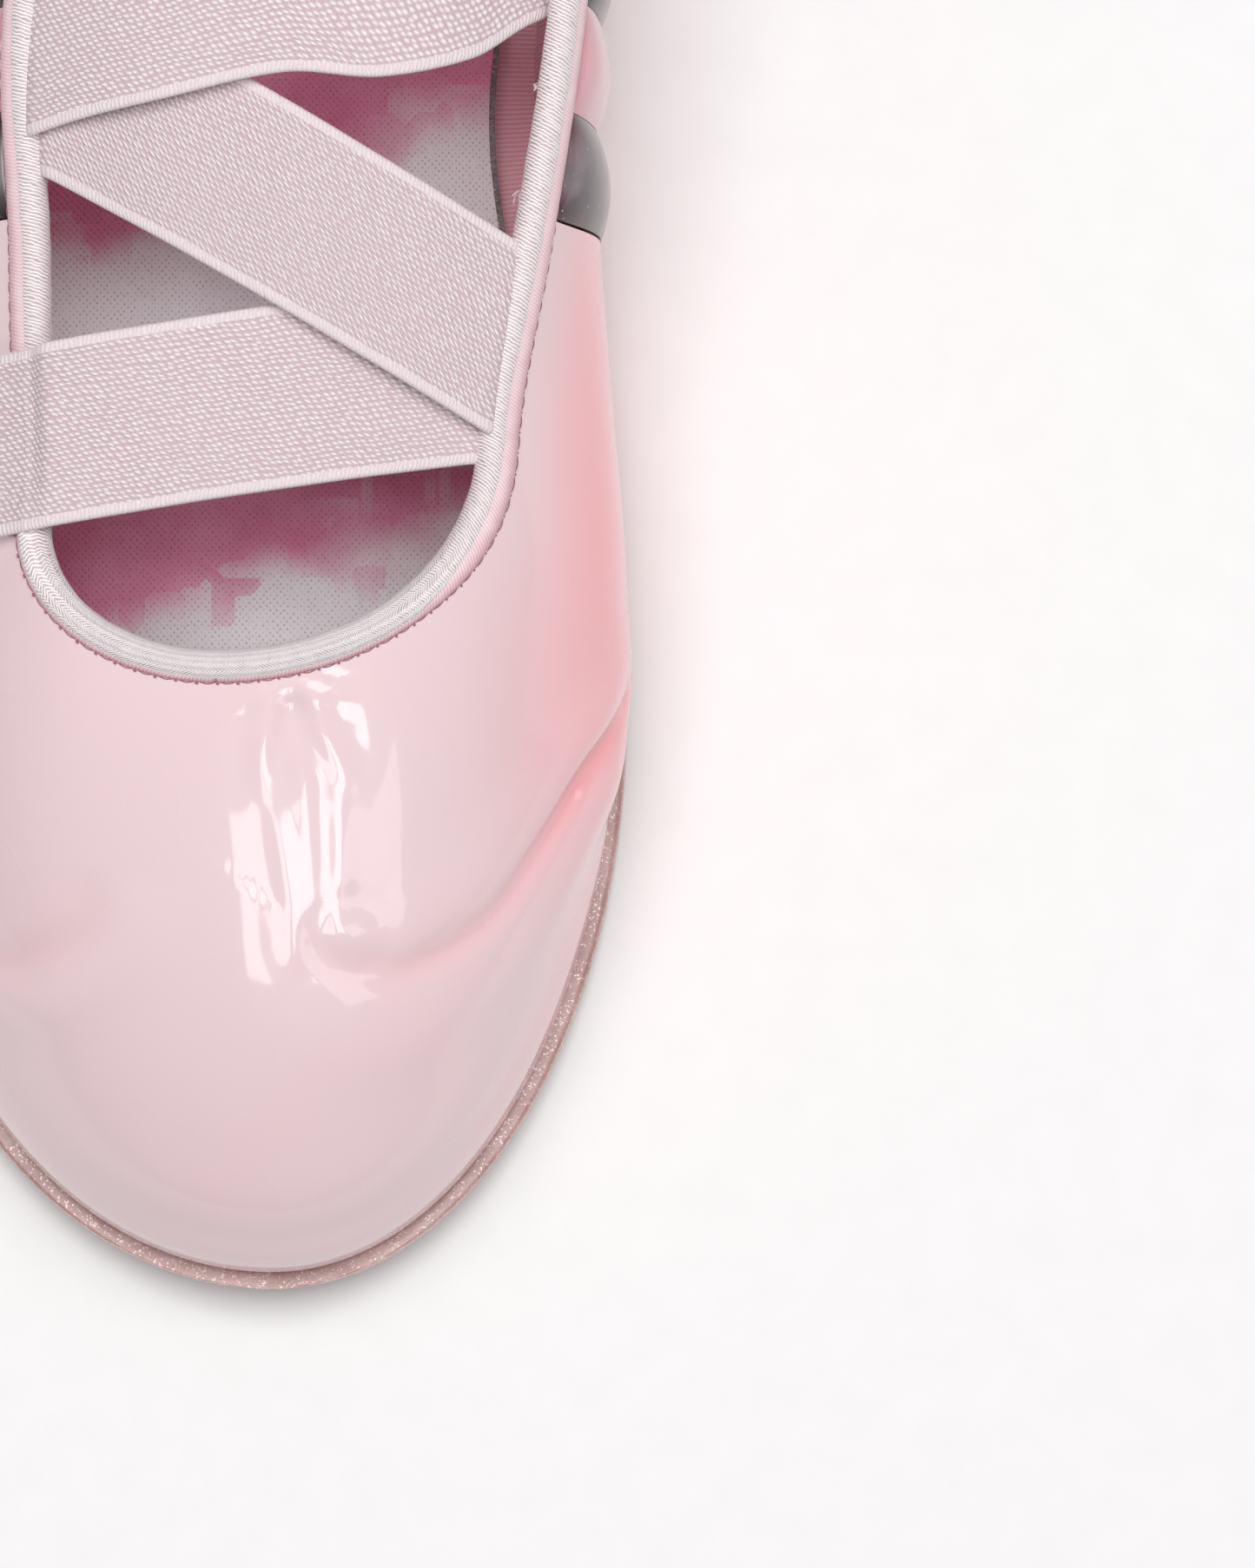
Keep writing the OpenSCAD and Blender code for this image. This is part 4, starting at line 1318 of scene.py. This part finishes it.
def strap_half(name, part, rows, runs, q, material, nodes):
    """One half of a strap, from its sewn end to its middle, as a closed band."""
    normal = unit(np.cross(np.gradient(rows, axis=0), np.gradient(rows, axis=1)))
    edge = np.abs(q)
    thick = STRAP_THICKNESS / 2 * (0.93 + 0.1 * hump(edge - 0.93, 0.05))
    thick = thick * np.sqrt(np.clip(1 - ((edge - 0.96) / 0.042).clip(0, 1) ** 2, 0.05, 1))
    outer = rows + normal * thick[None, :, None]
    inner = rows - normal * thick[None, :, None]
    uv = paired(runs[:, None], q[None] * STRAP_WIDTH / 2)
    piece = make_shell(f"{name}_elastic_{part}", outer, inner, uv=uv, sharp=75)
    piece.data.materials.append(material)
    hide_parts(*nodes)
    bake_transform(piece)


def elastic_straps(material):
    """Three crossed straps, each split in the middle, where it lifts most."""
    q = np.concatenate([[-1, -0.985, -0.96], np.linspace(-0.92, 0.92, 27), [0.96, 0.985, 1]])
    for name in STRAPS:
        points, runs, centre, first = strap_threads(name, q)
        strap_half(name, "outer_half", points[:centre + 1], runs[:centre + 1], q, material,
                   [f"{name}_strap", f"{name}_strap_outer_end"])
        strap_half(name, "inner_half", points[centre:], runs[centre:], q, material,
                   [f"{name}_strap", f"{name}_strap_inner_end"])


def loose_threads(material):
    """A frayed tuft and a small loop at the binding's inner edge, by the straps."""
    tubes = []
    for v, length, count, curl in ((143, 1.1, 7, 0.3), (130.5, 2.6, 3, 2.2)):
        station = station_of(v)
        centre, out, up = binding_frame(station)
        for _ in range(count):
            base = centre - out * 1.75 + up * rng.uniform(-0.1, 0.3)
            base = base + np.array([0, rng.normal(0, 0.25), 0])
            lean = np.array([-0.8, rng.normal(0, 0.45), rng.uniform(0.2, 0.7)])
            bend = np.array([rng.normal(0.5, 0.3), rng.normal(0, 0.6), -0.5]) * curl
            s = np.linspace(0, 1, 12)[:, None]
            path = base + length * (lean * s + bend * s * s * 0.4)
            tubes.append(thread_rings(path, 0.055, 5))
    piece = make_tubes("loose_threads", tubes)
    settle(piece, material, "shoe", "elastic")


# ---- stage ----

CAMERA_TARGET = np.array([46.87, -66.68, 20.0]) * MM
CAMERA_DISTANCE = 1.0
CAMERA_TILT = math.radians(5)


def make_camera():
    """Camera above the toes, tilted a little towards them."""
    data = bpy.data.cameras.new("camera")
    data.sensor_width = 36
    data.lens = 187.4
    data.clip_end = 20
    camera = bpy.data.objects.new("camera", data)
    back = np.array([0, -math.sin(CAMERA_TILT), math.cos(CAMERA_TILT)])
    camera.location = CAMERA_TARGET + back * CAMERA_DISTANCE
    camera.rotation_euler = (CAMERA_TILT, 0, 0)
    bpy.context.scene.collection.objects.link(camera)
    bpy.context.scene.camera = camera


def soft_light(name, place_m, size, power, aim=(0, 0, 0)):
    data = bpy.data.lights.new(name, "AREA")
    data.shape = "RECTANGLE"
    data.size, data.size_y = size
    data.energy = power
    light = bpy.data.objects.new(name, data)
    light.location = place_m
    toward = np.array(place_m, float) - np.array(aim, float)
    light.rotation_euler = Vector(toward).to_track_quat("Z", "Y").to_euler()
    light.visible_camera = False
    bpy.context.scene.collection.objects.link(light)


def make_stage():
    half = 2.0
    below = -0.05 * MM
    mesh = bpy.data.meshes.new("floor")
    mesh.from_pydata([(-half, -half, below), (half, -half, below), (half, half, below),
                      (-half, half, below)], [], [(0, 1, 2, 3)])
    floor = bpy.data.objects.new("floor", mesh)
    mesh.materials.append(studio_floor())
    bpy.context.scene.collection.objects.link(floor)
    world = bpy.data.worlds.new("studio")
    world.use_nodes = True
    background = world.node_tree.nodes["Background"]
    background.inputs["Color"].default_value = (1.0, 0.955, 0.965, 1)
    background.inputs["Strength"].default_value = 0.27
    bpy.context.scene.world = world
    bpy.context.scene.view_settings.view_transform = "Standard"
    soft_light("overhead", (0.0, 0.2, 1.3), (1.2, 0.9), 15.5)
    soft_light("window", (0.30, -0.87, 1.25), (0.25, 0.36), 1.9)
    soft_light("second_window", (0.04, -0.93, 1.25), (0.16, 0.38), 1.0)
    soft_light("side_window", (0.72, -0.98, 1.25), (0.34, 0.30), 0.7)
    soft_light("inner_strip", (0.75, 0.1, 0.55), (0.06, 0.9), 0.4, (0.04, 0, 0.03))


# ---- the slipper ----


def dress(nodes, material):
    """Gives CAD nodes that stay a procedural material."""
    for name in nodes:
        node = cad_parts[name]
        node.data.materials.clear()
        node.data.materials.append(material)


make_camera()

skin = patent_skin("patent_skin", (0.785, 0.61, 0.635), (0.96, 0.375, 0.40))
pod_skin = patent_skin("pod_skin", (0.72, 0.43, 0.47), (0.62, 0.25, 0.30))
lining_cloth = ribbed_lining()
elastic = woven_elastic()

vamp_upper(skin)
quarter_upper(skin)
bubble_pods(smoke_pod(), pod_skin)
outsole_moulded(glitter_sole())
sockliner_layers(printed_knit(), felt("grey_felt", (0.12, 0.11, 0.12), (0.42, 0.40, 0.41)))
sockliner_fuzz(felt("cut_fibres", (0.45, 0.36, 0.38), (0.75, 0.70, 0.71)))
wall_lining("vamp_lining_cloth", np.linspace(-SEAM + LINING_GAP, SEAM - LINING_GAP, 241),
            lining_cloth, "vamp_lining")
wall_lining("quarter_lining_cloth", np.linspace(SEAM + LINING_GAP, 360 - SEAM - LINING_GAP, 241),
            lining_cloth, "quarter_lining")
binding_roll(satin_tape())
binding_flank(flank_tape())
binding_stitches(sewing_thread("seam_thread", (0.26, 0.06, 0.10), (0.50, 0.20, 0.26)))
elastic_straps(elastic)
loose_threads(sewing_thread("loose_yarn", (0.66, 0.55, 0.57), (0.88, 0.82, 0.83)))
dress(["bottom_filler", "vamp_padding", "quarter_padding"], closed_foam())
dress(["insole_board"], fibre_board("insole_board_cloth", (0.13, 0.055, 0.07), (0.30, 0.15, 0.18)))
dress(["toe_puff", "heel_counter"], fibre_board("stiffener_board", (0.30, 0.21, 0.13),
                                                (0.56, 0.43, 0.29)))
dress(["shank"], spring_steel())
dress(["topline_cord"], felt("cotton_cord", (0.60, 0.56, 0.50), (0.86, 0.83, 0.78)))

make_stage()
